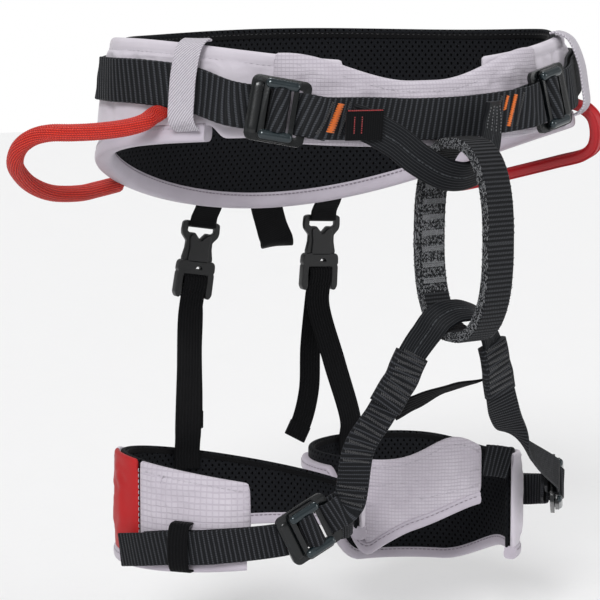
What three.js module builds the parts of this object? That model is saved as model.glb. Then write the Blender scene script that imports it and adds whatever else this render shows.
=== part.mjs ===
// Climbing harness: padded waist belt with two buckles, belay loop, two leg loops, elastic risers,
// gear loops and haul loop.
// Millimetres, +Z up. The origin is on the wearer's waist axis at the middle of the belt.
// The wearer faces -Y, so "right" pieces lie at -X and "left" pieces at +X.
import * as THREE from 'three';

// ---------- driving dimensions ----------
const GAP = 0.35;                    // clearance kept between neighbouring pieces

// waist belt, an oval ring whose section leans outwards towards the bottom
const WAIST_HALF_WIDTH = 146;        // outer face of the pad, side to side
const WAIST_HALF_DEPTH = 90;         // outer face of the pad, front to back
const WAIST_FLARE = 0.13;            // outward lean per millimetre of height
const SHELL_THICKNESS = 4.4;         // coloured outer fabric and foam
const LINER_THICKNESS = 3.8;         // breathable mesh against the body
const PAD_END_ANGLE = 18;            // the main pad is open at the front by twice this angle
const FRONT_PAD_ANGLE = 35;          // half the spread of the separate front pad
const BINDING_END_ANGLE = 52;        // where the rolled bottom binding stops, from the front
const BINDING_HEIGHT = 10.5;
const BINDING_THICKNESS = 10.5;

// webbing
const WAIST_WEB = 24;
const LEG_WEB = 19;
const WEB_THICKNESS = 1.7;
const BUCKLE_STAND_OFF = 14.5;       // back of a buckle frame above the pad
const WAIST_BUCKLE_ANGLE = { right: -33, left: 31 };
const KEEPER_ANGLE = 56;
const KEEPER_WIDTH = 14.5;

// belay loop, an upright ring of stiff webbing
const BELAY_CENTRE = new THREE.Vector3(10, -118, -72.2);
const BELAY_HALF_DEPTH = 29.5;
const BELAY_HALF_HEIGHT = 53;
const BELAY_WIDTH = 17.5;
const BELAY_THICKNESS = 6;
const BELAY_TURN = 8;                // degrees that the ring is turned away from straight ahead

// tie-in tapes
const TIE_IN_WIDTH = 18;
const TIE_IN_THICKNESS = 3.2;

// leg loops, ovals turned together about the vertical
const LEG_TURN = -28;
const LEG = {
  right: { centre: [-73, -11], halfWidth: 72, halfDepth: 55 },
  left: { centre: [66, 31], halfWidth: 67, halfDepth: 54 },
};
const LEG_SHELL = 3.4;
const LEG_LINER = 3.2;

// risers
const RISER_X = { right: -38.7, left: 45 };
const RISER_WIDTH = 19;

const RED = 0xd8322c;
const LILAC = 0xc9c3cf;
const BLACK_WEB = 0x2b2c31;
const BLACK_MESH = 0x1d1d21;
const GUNMETAL = 0x2d3a40;
const BLACK_PLASTIC = 0x25262a;

const harness = new THREE.Group();
harness.name = 'climbing_harness';

const rad = THREE.MathUtils.degToRad;
const V = (x, y, z) => new THREE.Vector3(x, y, z);
const mix = (a, b, t) => a + (b - a) * t;
const smooth = (t) => THREE.MathUtils.smoothstep(t, 0, 1);

function add(name, geometry, colour, roughness = 0.9, metalness = 0) {
  const material = new THREE.MeshStandardMaterial({ color: colour, roughness, metalness });
  const mesh = new THREE.Mesh(geometry, material);
  mesh.name = name;
  harness.add(mesh);
  return mesh;
}

// ---------- closed skins through a row of outlines ----------
// Every outline has the same number of points; the row is capped at both ends unless it is a ring.
function skin(outlines, ring = false) {
  const count = outlines[0].length;
  const positions = outlines.flat().flatMap((p) => [p.x, p.y, p.z]);
  const triangles = [];
  const rows = ring ? outlines.length : outlines.length - 1;
  for (let row = 0; row < rows; row++) {
    const here = row * count;
    const next = ((row + 1) % outlines.length) * count;
    for (let i = 0; i < count; i++) {
      const j = (i + 1) % count;
      triangles.push(here + i, here + j, next + j, here + i, next + j, next + i);
    }
  }
  if (!ring) {
    const last = (outlines.length - 1) * count;
    for (let i = 1; i < count - 1; i++) {
      triangles.push(0, i + 1, i, last, last + i, last + i + 1);
    }
  }
  const geometry = new THREE.BufferGeometry();
  geometry.setAttribute('position', new THREE.Float32BufferAttribute(positions, 3));
  geometry.setIndex(triangles);
  if (volume(geometry) < 0) {
    geometry.setIndex(triangles.reverse());
  }
  geometry.computeVertexNormals();
  return geometry;
}

function volume(geometry) {
  const place = geometry.getAttribute('position');
  const index = geometry.getIndex();
  const [a, b, c] = [V(0, 0, 0), V(0, 0, 0), V(0, 0, 0)];
  let sum = 0;
  for (let i = 0; i < index.count; i += 3) {
    a.fromBufferAttribute(place, index.getX(i));
    b.fromBufferAttribute(place, index.getX(i + 1));
    c.fromBufferAttribute(place, index.getX(i + 2));
    sum += a.dot(b.cross(c));
  }
  return sum / 6;
}

// A ribbon follows knots { at, across }: the centre line and the direction of the ribbon's width.
function ribbon(knots, width, thickness, { steps = 8, ring = false } = {}) {
  const line = new THREE.CatmullRomCurve3(knots.map((k) => k.at), ring, 'centripetal');
  const spans = ring ? knots.length : knots.length - 1;
  const rows = spans * steps;
  const outlines = [];
  for (let i = 0; i < (ring ? rows : rows + 1); i++) {
    const t = i / rows;
    const along = line.getTangent(t);
    const place = t * spans;
    const from = Math.min(Math.floor(place), spans - 1);
    const across = knots[from].across.clone();
    across.lerp(knots[(from + 1) % knots.length].across, smooth(place - from));
    across.addScaledVector(along, -across.dot(along)).normalize();
    const normal = V(0, 0, 0).crossVectors(along, across);
    const centre = line.getPoint(t);
    const corner = (w, n) => centre.clone()
      .addScaledVector(across, w * width / 2)
      .addScaledVector(normal, n * thickness / 2);
    outlines.push([corner(1, 1), corner(-1, 1), corner(-1, -1), corner(1, -1)]);
  }
  return skin(outlines, ring);
}

// A round cord through a list of points, with an oval section when squash is not 1.
function cord(points, radius, { samples = 48, sides = 10, squash = 1 } = {}) {
  const line = new THREE.CatmullRomCurve3(points, false, 'centripetal');
  const section = new THREE.Shape();
  for (let i = 0; i < sides; i++) {
    const angle = (i / sides) * Math.PI * 2;
    const [x, y] = [radius * Math.cos(angle), radius * squash * Math.sin(angle)];
    if (i === 0) section.moveTo(x, y);
    else section.lineTo(x, y);
  }
  return new THREE.ExtrudeGeometry(section, { steps: samples, extrudePath: line, bevelEnabled: false });
}

// ---------- waist belt surface ----------
const wave = (angle, level, one, two, three) => level + one * Math.cos(rad(angle))
  + two * Math.cos(rad(2 * angle)) + three * Math.cos(rad(3 * angle));
const beltTop = (angle) => wave(angle, 33, -4.5, -3.2, -2);
const beltBottom = (angle) => wave(angle, -35.7, 27, -9.2, 1.6);
const frontPadTop = (angle) => 13.5 + 16 * smooth((Math.abs(angle) - 3) / 29);
const webLevel = (angle) => -7.2 + 10.35 * (1 - Math.cos(Math.PI * Math.min(Math.abs(angle) / 76, 1)));

// angle: 0 at the front, positive towards the wearer's left; out: distance outside the pad face
function beltPoint(angle, z, out = 0) {
  const a = WAIST_HALF_WIDTH + out - WAIST_FLARE * z;
  const b = WAIST_HALF_DEPTH + out - WAIST_FLARE * z;
  return V(a * Math.sin(rad(angle)), -b * Math.cos(rad(angle)), z);
}

function band(from, to, steps, outline) {
  const outlines = [];
  for (let i = 0; i <= steps; i++) {
    outlines.push(outline(mix(from, to, i / steps)));
  }
  return skin(outlines);
}

// A padded strip standing on a surface: rounded top and bottom, faces at the two offsets.
function strip(point, angle, bottom, top, inner, outer) {
  const round = Math.min(2.5, (top - bottom) / 3);
  const middle = (inner + outer) / 2;
  return [
    point(angle, bottom, middle), point(angle, bottom + round, outer), point(angle, top - round, outer),
    point(angle, top, middle), point(angle, top - round, inner), point(angle, bottom + round, inner),
  ];
}

const liftOfShell = (angle) => {
  const side = Math.min(angle, 360 - angle);
  return 1 + (BINDING_HEIGHT + GAP - 0.5) * smooth((side - BINDING_END_ANGLE + 5) / 4);
};
const padRange = [PAD_END_ANGLE, 360 - PAD_END_ANGLE];
const shellBottom = (angle) => beltBottom(angle) + liftOfShell(angle);
add('waist_pad_shell', band(...padRange, 60, (angle) => strip(
  beltPoint, angle, shellBottom(angle), beltTop(angle), -SHELL_THICKNESS, 0)), LILAC);
add('waist_mesh_liner', band(PAD_END_ANGLE + 1, 359 - PAD_END_ANGLE, 60, (angle) => strip(
  beltPoint, angle, shellBottom(angle) + 0.5, beltTop(angle) - 1.5,
  -SHELL_THICKNESS - 2 * GAP - LINER_THICKNESS, -SHELL_THICKNESS - 2 * GAP)), BLACK_MESH);
add('waist_bottom_binding', band(BINDING_END_ANGLE, 360 - BINDING_END_ANGLE, 52, (angle) => strip(
  beltPoint, angle, beltBottom(angle) - 0.5, beltBottom(angle) + BINDING_HEIGHT,
  1.2 - BINDING_THICKNESS, 1.2)), LILAC);
add('waist_front_pad', band(-FRONT_PAD_ANGLE, FRONT_PAD_ANGLE, 20, (angle) => strip(
  beltPoint, angle, beltBottom(angle) - 6 + 5 * (angle / FRONT_PAD_ANGLE) ** 2,
  frontPadTop(angle), 1, 6)), LILAC);

// ---------- strap buckles ----------
// Local axes: x along the strap towards its sewn end, y across the strap, z away from the body.
const frameAt = (origin, along, out) => {
  const z = out.clone().normalize();
  const x = along.clone().addScaledVector(z, -along.dot(z)).normalize();
  const y = V(0, 0, 0).crossVectors(z, x);
  const matrix = new THREE.Matrix4().makeBasis(x, y, z).setPosition(origin);
  return { matrix, y, point: (s, n) => V(s, 0, n).applyMatrix4(matrix) };
};

const roundedBox = (x0, x1, y0, y1, r) => {
  const shape = new THREE.Shape();
  shape.moveTo(x0 + r, y0);
  shape.lineTo(x1 - r, y0);
  shape.absarc(x1 - r, y0 + r, r, -Math.PI / 2, 0);
  shape.lineTo(x1, y1 - r);
  shape.absarc(x1 - r, y1 - r, r, 0, Math.PI / 2);
  shape.lineTo(x0 + r, y1);
  shape.absarc(x0 + r, y1 - r, r, Math.PI / 2, Math.PI);
  shape.lineTo(x0, y0 + r);
  shape.absarc(x0 + r, y0 + r, r, Math.PI, Math.PI * 1.5);
  return shape;
};

function plate(outline, holes, z0, z1) {
  outline.holes.push(...holes);
  const geometry = new THREE.ExtrudeGeometry(outline, { depth: z1 - z0, bevelEnabled: false, curveSegments: 3 });
  geometry.translate(0, 0, z0);
  return geometry;
}

const SLOT_BAR = { from: -2.1, to: 1.7 };  // the bar of the slider that the strap turns round
function buckle(prefix, place, web) {
  const inside = web / 2 + 0.7;
  const half = inside + 5;
  const frame = plate(
    roundedBox(-17, 15.6, -half, half, 4), [roundedBox(-7.5, 11.5, -inside, inside, 1.5)], 0, 2.5);
  const slider = plate(
    roundedBox(-10, 8.8, -half + 0.6, half - 0.6, 3),
    [
      roundedBox(-7, SLOT_BAR.from, -inside, inside, 0.8),
      roundedBox(SLOT_BAR.to, 6.2, -inside, inside, 0.8),
    ], 3, 5.4);
  add(`${prefix}_buckle_frame`, frame, GUNMETAL, 0.35, 0.8).applyMatrix4(place.matrix);
  add(`${prefix}_buckle_slider`, slider, GUNMETAL, 0.25, 0.8).applyMatrix4(place.matrix);
}

// The adjustable strap comes in under the frame, turns round the slider's bar and goes back out under
// the frame: the loose end on top, the loaded part beneath, and between them the turn that lifts
// with the slider.
const LOOSE = [[-9, -2.3], [-12, -2.3], [-27, -2.4]];
const TURN = [
  [-5.2, -1.4], [-4.6, 1], [-4.4, 3.4], [-2.9, 6.2], [-0.2, 7.3], [2.6, 6.2], [4, 3.4], [4, 1], [3.6, -1.2],
];
const LOADED = [[2.6, -5], [-5, -5.2], [-12, -5.3], [-27, -5.4]];
const knotsAt = (place, list) => list.map(([s, n]) => ({ at: place.point(s, n), across: place.y }));
// the sewn strap: a fold round the end bar of the frame
const FOLD = [[27, -2.4], [18, -2.2], [12.5, -2], [9.9, 0], [9.9, 2.4], [12.5, 4.6], [18, 4.7], [24, 4.3]];
const foldKnots = (place) => knotsAt(place, FOLD);

const beltFrame = (angle, level, out, lean) => {
  const side = Math.sign(angle);
  const origin = beltPoint(angle, level, out);
  const along = beltPoint(angle - side * 2, level + lean, out).sub(beltPoint(angle + side * 2, level - lean, out));
  const up = beltPoint(angle, level + 1, out).sub(beltPoint(angle, level - 1, out));
  const outward = V(0, 0, 0).crossVectors(along, up).multiplyScalar(-side);
  return frameAt(origin, along, outward);
};
const waistPlace = {
  right: beltFrame(WAIST_BUCKLE_ANGLE.right, -1, BUCKLE_STAND_OFF, -0.9),
  left: beltFrame(WAIST_BUCKLE_ANGLE.left, 1, BUCKLE_STAND_OFF, -0.9),
};
buckle('right_waist', waistPlace.right, WAIST_WEB);
buckle('left_waist', waistPlace.left, WAIST_WEB);

const upOnBelt = (angle) => V(
  -WAIST_FLARE * Math.sin(rad(angle)), WAIST_FLARE * Math.cos(rad(angle)), 1).normalize();
const onBelt = (angle, out, level = webLevel(angle)) => ({
  at: beltPoint(angle, level, out), across: upOnBelt(angle),
});

// every knot of a ribbon points its width the same way, so that the ribbon never flips over
const facingDown = (knots) => knots.map((k) => ({
  at: k.at, across: k.across.z > 0 ? k.across.clone().negate() : k.across,
}));
const strap = (name, knots, width, steps = 3) => add(
  name, ribbon(facingDown(knots), width, WEB_THICKNESS, { steps }), BLACK_WEB);

strap('waist_webbing', [
  ...knotsAt(waistPlace.right, LOADED),
  ...[-56, -72, -88].map((angle) => onBelt(angle, 3)),
  ...[-105, -125, -145, -165, 175, 155, 135, 115].map((angle) => onBelt(angle, 2.8, 13)),
  ...[88, 72, 56].map((angle) => onBelt(angle, 3)),
  ...knotsAt(waistPlace.left, LOADED).reverse(),
], WAIST_WEB);
for (const [name, side] of [['right', -1], ['left', 1]]) {
  strap(`${name}_waist_webbing_tail`, [
    ...knotsAt(waistPlace[name], LOOSE),
    ...[56, 70, 84, 98].map((angle) => onBelt(side * angle, mix(6.4, 5.4, (angle - 56) / 42))),
  ], WAIST_WEB);
  strap(`${name}_waist_webbing_turn`, knotsAt(waistPlace[name], TURN), WAIST_WEB);
}

strap('front_webbing', [
  ...foldKnots(waistPlace.right),
  onBelt(-13, 13), onBelt(-5, 9.6), onBelt(4, 9.4), onBelt(12, 12.2),
  ...foldKnots(waistPlace.left).reverse(),
], WAIST_WEB - 1);

for (const [name, side] of [['right', -1], ['left', 1]]) {
  const at = side * KEEPER_ANGLE;
  const top = beltTop(at);
  const low = beltBottom(at) + BINDING_HEIGHT;
  const along = beltPoint(at + 1, 0).sub(beltPoint(at - 1, 0)).normalize();
  const knots = [
    [top + 1.6, -5], [top + 2.6, -1], [top - 1, 6.4], [19, 11.2], [5, 11.8], [-6, 11.2],
    [low - 2, 7.4], [low - 4, 3],
  ].map(([z, out]) => ({ at: beltPoint(at, z, out), across: along }));
  add(`${name}_waist_keeper`, ribbon(knots, KEEPER_WIDTH, 1.4, { steps: 3 }), LILAC);
}

// ---------- tie-in loops, belay loop and indicator label ----------
const tape = (at, across) => ({ at: V(...at), across: V(...across).normalize() });
const upperTieIn = [
  { at: beltPoint(-22, -4.4, 25.2), across: V(0.1, 0.25, -1) },
  { at: beltPoint(-17, -7.5, 22), across: V(-0.35, 0.2, -0.9) },
  tape([-31, -113, -17], [-0.5, 0.2, -0.8]),
  tape([-17, -116.5, -28], [-0.35, 0.25, -0.9]),
  tape([-2, -118.5, -36], [-0.1, 0.35, -0.9]),
  tape([10, -119, -37.5], [0.1, 0.45, -0.9]),
  tape([22.5, -117.5, -32.5], [0.4, 0.4, -0.8]),
  tape([28.5, -114.5, -21], [0.85, 0.3, -0.4]),
  tape([31, -112.8, -10], [1, 0.1, -0.15]),
  tape([31.5, -112.8, 2], [1, 0.15, 0]),
];
add('upper_tie_in_loop', ribbon(upperTieIn, TIE_IN_WIDTH, TIE_IN_THICKNESS, { steps: 4 }), BLACK_WEB);

const label = [-20, -16.5, -13].map((angle) => ({
  at: beltPoint(angle, -8, 28 - 0.1 * (angle + 20)), across: V(-0.3, 0.2, -0.9).normalize(),
}));
add('indicator_label', ribbon(label, 17, 0.8, { steps: 3 }), BLACK_WEB);

// superellipse in the ring's own upright plane
const belayPoint = (turn, grow = 0) => {
  const c = Math.cos(turn);
  const s = Math.sin(turn);
  const power = 2 / 2.5;
  const ahead = (BELAY_HALF_DEPTH + grow) * Math.sign(c) * Math.pow(Math.abs(c), power);
  const up = (BELAY_HALF_HEIGHT + grow) * Math.sign(s) * Math.pow(Math.abs(s), power);
  const yaw = rad(BELAY_TURN);
  return V(ahead * Math.sin(yaw), -ahead * Math.cos(yaw), up).add(BELAY_CENTRE);
};
const belayAcross = V(Math.cos(rad(BELAY_TURN)), Math.sin(rad(BELAY_TURN)), 0);
const belayOutlines = [];
for (let i = 0; i < 40; i++) {
  const turn = ((i + 0.5) / 40) * Math.PI * 2;
  const inner = belayPoint(turn, -BELAY_THICKNESS / 2);
  const outer = belayPoint(turn, BELAY_THICKNESS / 2);
  const side = (p, k) => p.clone().addScaledVector(belayAcross, k * BELAY_WIDTH / 2);
  const middle = inner.clone().lerp(outer, 0.5);
  belayOutlines.push([
    side(inner, -0.9), side(middle, -1), side(outer, -0.9), side(outer, 0.9), side(middle, 1), side(inner, 0.9),
  ]);
}
add('belay_loop', skin(belayOutlines, true), BLACK_WEB);

const lowerTieIn = [
  tape([-22, -107, -148.5], [-0.8, 0.1, 0.5]),
  tape([-17.5, -109.5, -136], [-0.85, 0.1, 0.4]),
  tape([-11, -112.5, -125], [-0.8, 0.2, 0.55]),
  tape([-1.5, -114.5, -114.5], [-0.4, 0.6, 0.6]),
  tape([10, -115, -111.8], [0, 0.8, 0.55]),
  tape([21, -115, -114.5], [0.4, 0.8, 0.25]),
  tape([29.5, -114, -126], [0.8, 0.5, 0.3]),
  tape([33.5, -113.5, -137], [0.85, 0.3, 0.3]),
  tape([35.5, -112.5, -144.5], [0.9, 0.2, 0.25]),
];
add('lower_tie_in_loop', ribbon(lowerTieIn, TIE_IN_WIDTH - 1, TIE_IN_THICKNESS, { steps: 4 }), BLACK_WEB);

// ---------- leg loops ----------
const legPoint = (leg) => (angle, z, out = 0) => {
  const { centre, halfWidth, halfDepth } = LEG[leg];
  const [x, y] = [(halfWidth + out) * Math.sin(rad(angle)), -(halfDepth + out) * Math.cos(rad(angle))];
  const turn = rad(LEG_TURN);
  return V(
    centre[0] + x * Math.cos(turn) - y * Math.sin(turn),
    centre[1] + x * Math.sin(turn) + y * Math.cos(turn), z);
};
const bump = (angle, at, width) => Math.exp(-(((angle - at) / width) ** 2));
const rightTop = (angle) => -211 - 12 * Math.cos(rad(angle - 105));
const rightBottom = (angle) => -257 + 5 * Math.cos(rad(angle - 105));
// the left loop's angles run from 40 (front end) down to -245 (outer end)
const leftTop = (angle) => -217.5 + 14 * bump(angle, 21, 20) - 7 * bump(angle, -232, 30);
const leftBottom = (angle) => {
  const neck = smooth((angle + 150) / 50) * (1 - smooth((angle + 52) / 30));
  const high = smooth((angle + 60) / 60);
  const outer = -300 + 15 * smooth((-angle - 200) / 50);
  return mix(mix(outer, -262 + 17 * smooth((angle + 15) / 55), high), -232, neck);
};

const legFrame = (leg, angle, level, out, roll) => {
  const point = legPoint(leg);
  const origin = point(angle, level, out);
  const side = leg === 'right' ? 1 : -1;
  const tangent = point(angle + 2, level, out).sub(point(angle - 2, level, out)).normalize().multiplyScalar(side);
  const outward = V(0, 0, 0).crossVectors(tangent, V(0, 0, 1)).multiplyScalar(side);
  const along = tangent.clone().multiplyScalar(Math.cos(rad(roll))).addScaledVector(V(0, 0, 1), Math.sin(rad(roll)));
  return frameAt(origin, along, outward);
};
const LEG_INNER = -LEG_SHELL - GAP - LEG_LINER;
const LEG_ANGLES = { right: [-276, 6], left: [-293, 38] };
const bindingEnd = { right: 4, left: 36 };
const LEG_TOP = { right: rightTop, left: leftTop };
const LEG_BOTTOM = { right: rightBottom, left: leftBottom };
const LEG_BINDING = 8;

for (const leg of ['right', 'left']) {
  const point = legPoint(leg);
  const [from, to] = LEG_ANGLES[leg];
  const [top, bottom] = [LEG_TOP[leg], LEG_BOTTOM[leg]];
  const body = (angle) => bottom(angle) + LEG_BINDING + 2 * GAP;
  add(`${leg}_leg_mesh_liner`, band(from, to, 48, (angle) => strip(
    point, angle, body(angle), top(angle), LEG_INNER, -LEG_SHELL - GAP)), BLACK_MESH);
  add(`${leg}_leg_binding`, band(from + 2, bindingEnd[leg], 60, (angle) => strip(
    point, angle, bottom(angle), bottom(angle) + LEG_BINDING, LEG_INNER + 0.6, 0.6)), LILAC);
}
const legShell = (leg, from, to, steps) => band(from, to, steps, (angle) => strip(
  legPoint(leg), angle, LEG_BOTTOM[leg](angle) + LEG_BINDING + 2 * GAP, LEG_TOP[leg](angle) + 0.5, -LEG_SHELL, 0));
add('right_leg_front_panel', legShell('right', -52, 6, 10), LILAC);
add('right_leg_side_panel', legShell('right', -92, -53, 8), RED);
add('right_leg_back_panel', legShell('right', -276, -93, 30), LILAC);
add('left_leg_inner_panel', legShell('left', -28, 38, 22), LILAC);
add('left_leg_outer_panel', legShell('left', -293, -128, 28), LILAC);

const legPlace = {
  right: legFrame('right', 29, -233, BUCKLE_STAND_OFF - 5, 27),
  left: legFrame('left', 84, -240, BUCKLE_STAND_OFF + 4, 27),
};
buckle('right_leg', legPlace.right, LEG_WEB);
buckle('left_leg', legPlace.left, LEG_WEB);

const upright = (angle, out, level, leg) => ({ at: legPoint(leg)(angle, level, out), across: V(0, 0, -1) });
// angle and level along each leg strap, from the buckle round to the loose end
const LEG_STRAP = {
  right: [[-12, -243.5], [-28, -245], [-44, -248], [-58, -251]],
  left: [[128, -253], [143, -256], [160, -259], [178, -262]],
};
for (const leg of ['right', 'left']) {
  const route = (out, count) => LEG_STRAP[leg].slice(0, count)
    .map(([angle, level], i) => upright(angle, out(i), level, leg));
  const first = leg === 'left' ? 9 : 6.6;   // the left tail stands off until it meets the pad
  strap(`${leg}_leg_webbing`, [
    ...knotsAt(legPlace[leg], LOADED.slice(0, 3)), ...route(() => 2.3, 3),
  ], LEG_WEB);
  strap(`${leg}_leg_webbing_tail`, [
    ...knotsAt(legPlace[leg], LOOSE.slice(0, 2)), ...route((i) => (i === 0 ? first : 6.6), 4),
  ], LEG_WEB);
  strap(`${leg}_leg_webbing_turn`, knotsAt(legPlace[leg], TURN), LEG_WEB);
}

for (const [leg, at, level] of [['right', -24, -244.5], ['left', 148, -256.5]]) {
  const point = legPoint(leg);
  const along = point(at + 1, level).sub(point(at - 1, level)).normalize();
  const knots = [[13.5, 1.7], [12.8, 7], [6, 9.9], [-6, 9.9], [-12.8, 7], [-13.5, 1.7]]
    .map(([z, out]) => ({ at: point(at, level + z, out), across: along }));
  add(`${leg}_leg_keeper`, ribbon(knots, 12, 1.3, { steps: 3 }), BLACK_WEB);
}

// front straps: from the lower tie-in tape down to the fold round each leg buckle
strap('right_front_strap', [
  tape([-23.5, -105.5, -151.5], [0.8, -0.1, -0.5]),
  tape([-33, -103, -168], [0.8, -0.1, -0.5]),
  tape([-43, -98, -186], [0.8, -0.15, -0.5]),
  ...foldKnots(legPlace.right).reverse(),
], LEG_WEB - 1);
strap('left_front_strap', [
  tape([37, -111.5, -148.5], [0.9, 0.2, -0.3]),
  tape([43, -106, -163], [0.95, 0.1, -0.2]),
  tape([56, -93, -181], [0.85, 0.1, -0.4]),
  tape([84, -72, -204], [0.6, 0.1, -0.8]),
  ...foldKnots(legPlace.left).reverse(),
], LEG_WEB - 1);

// ---------- gear loops and haul loop ----------
const rightGear = [
  V(-139.5, -41.5, -6.5), V(-144, -43.5, -9), V(-152, -43.5, -9.5), V(-163, -41, -7.5), V(-175, -36, -7),
  V(-188, -27, -8), V(-198, -18, -11), V(-203.5, -8, -18), V(-205.5, 3, -29), V(-200, 14, -40),
  V(-189, 24, -48.5), V(-173, 35, -52.5), V(-153, 48, -52.5), V(-131, 66, -51),
];
add('right_gear_loop', cord(rightGear, 4.8, { samples: 40, sides: 10 }), RED, 0.7);
const leftGear = [
  V(139, -44.5, -8), V(143, -47.5, -14), V(145.5, -47.5, -22.5), V(147, -43, -31.5), V(146, -35, -37),
  V(141, -13, -43), V(129.5, 34, -55), V(124, 58, -61), V(122, 68, -62.5), V(121.5, 74, -60.5),
];
const gearAcross = V(0.9, 0.35, 0.25).normalize();
add('left_gear_loop', ribbon(
  leftGear.map((at) => ({ at, across: gearAcross })), 7, 6, { steps: 3 }), RED, 0.5);

const haul = [
  [6, 109, -58], [6.6, 109, -74], [10, 110, -86], [15, 111.5, -97], [17, 115.6, -100], [17.6, 119.8, -97],
  [15, 120.6, -86], [11, 119, -74], [8, 113.8, -61],
].map((at) => tape(at, [1, 0, 0.03]));
add('haul_loop', ribbon(haul, 21, 1.8, { steps: 3 }), BLACK_WEB);

// ---------- elastic risers ----------
// Local axes of a riser clip: x down the strap, y to the wearer's right, z towards the wearer's front.
const polygon = (points) => new THREE.Shape(points.map(([x, y]) => new THREE.Vector2(x, y)));
const mirrored = (half) => [...half.map(([x, y]) => [x, -y]), ...half.slice().reverse()];
const HOOK = mirrored([[0, 13], [5, 14], [12, 9.5], [16, 6.5], [22, 6], [27, 4.8], [33, 4.5]]);
const HOOK_HOLE = mirrored([[4, 9.6], [6, 10], [11.5, 5]]);
const LOCK = mirrored([
  [34.5, 5.6], [25, 5.6], [24.5, 13], [31, 14], [34, 12.6], [46, 12.8], [48, 10.5], [45, 9.6], [41.5, 9.4],
]);
const RISER_LEAN = { right: -0.16, left: -0.06 };
const riserPlace = (side) => frameAt(
  V(RISER_X[side] - 1, 106.5, -81.5), V(RISER_LEAN[side], -0.02, -1), V(0, -1, 0));
for (const side of ['right', 'left']) {
  const place = riserPlace(side);
  const hook = plate(polygon(HOOK), [polygon(HOOK_HOLE)], -1.6, 1.6);
  const lock = plate(polygon(LOCK), [polygon(mirrored([[36.5, 8.6], [39.5, 8.6]]))], -2.6, 2.6);
  add(`${side}_riser_hook`, hook, BLACK_PLASTIC, 0.5).applyMatrix4(place.matrix);
  add(`${side}_riser_ladder_lock`, lock, BLACK_PLASTIC, 0.5).applyMatrix4(place.matrix);

  const topStrap = [
    { at: beltPoint(side === 'right' ? 193.5 : 163.5, -56, 5), across: V(1, 0, 0) },
    { at: beltPoint(side === 'right' ? 193.5 : 163.5, -70, 4), across: V(1, 0, 0) },
    { at: place.point(-2, 2.8), across: V(1, 0, 0) },
    { at: place.point(3.2, 2.8), across: V(1, 0, 0) },
  ];
  add(`${side}_riser_top_strap`, ribbon(topStrap, RISER_WIDTH - 1, 1.6, { steps: 3 }), BLACK_WEB);
}
const RISER_FOOT = { right: [-149, [-200, -209, -219]], left: [-139, [-209, -218, -229]] };
const riserFoot = (side) => {
  const [angle, levels] = RISER_FOOT[side];
  const point = legPoint(side);
  const across = point(angle - 3, 0).sub(point(angle + 3, 0)).normalize();
  return levels.map((level, i) => ({ at: point(angle, level, i === 0 ? -11 : -10), across }));
};
const riserTail = {
  right: [V(-45, 109.5, -135), V(-50, 101, -160), V(-57, 86, -186), V(-62, 76, -202)],
  left: [V(40, 108, -135), V(36.5, 107.5, -165), V(35, 106.5, -192), V(30, 105.5, -210), V(23.5, 104.5, -222)],
};
for (const side of ['right', 'left']) {
  const place = riserPlace(side);
  const acrossTop = V(1, 0, RISER_LEAN[side]);
  const foot = riserFoot(side);
  const main = [
    { at: place.point(42.8, 1.6), across: acrossTop },
    { at: place.point(56, 1.6), across: acrossTop },
    { at: place.point(56, 1.6).lerp(foot[0].at, 0.5), across: acrossTop },
    ...foot,
  ];
  add(`${side}_riser_elastic`, ribbon(main, RISER_WIDTH - 3, 1.6, { steps: 4 }), BLACK_WEB);
  const tail = [
    { at: place.point(44, -1.8), across: acrossTop },
    ...riserTail[side].map((at) => ({ at, across: V(1, -0.05, 0) })),
  ];
  add(`${side}_riser_tail`, ribbon(tail, RISER_WIDTH - 5, 1.6, { steps: 4 }), BLACK_WEB);
}

// ---------- short straps that close the leg loops ----------
const rightInner = [[70, -236, -4], [60, -236, -1], [50, -235, 1]]
  .map(([angle, level, out]) => upright(angle, out, level, 'right'));
strap('right_leg_inner_strap', rightInner, LEG_WEB);
const leftInner = [[40.5, -219, -2], [47, -220, 1], [54, -222, 4]]
  .map(([angle, level, out]) => upright(angle, out, level, 'left'));
strap('left_leg_inner_strap', leftInner, LEG_WEB);
const bridge = [
  tape([-20.5, -98.5, -168], [0, 0.3, -1]), tape([-6, -97, -164], [0, 0.5, -0.8]),
  tape([14, -98, -158], [0, 0.8, -0.5]), tape([32, -101, -155], [0, 0.9, -0.3]),
];
add('leg_bridge_elastic', ribbon(bridge, 12, 1.4, { steps: 4 }), BLACK_WEB);

export default harness;
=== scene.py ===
"""Climbing harness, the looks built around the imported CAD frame. All shapes are worked out in millimetres."""
import math

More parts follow.
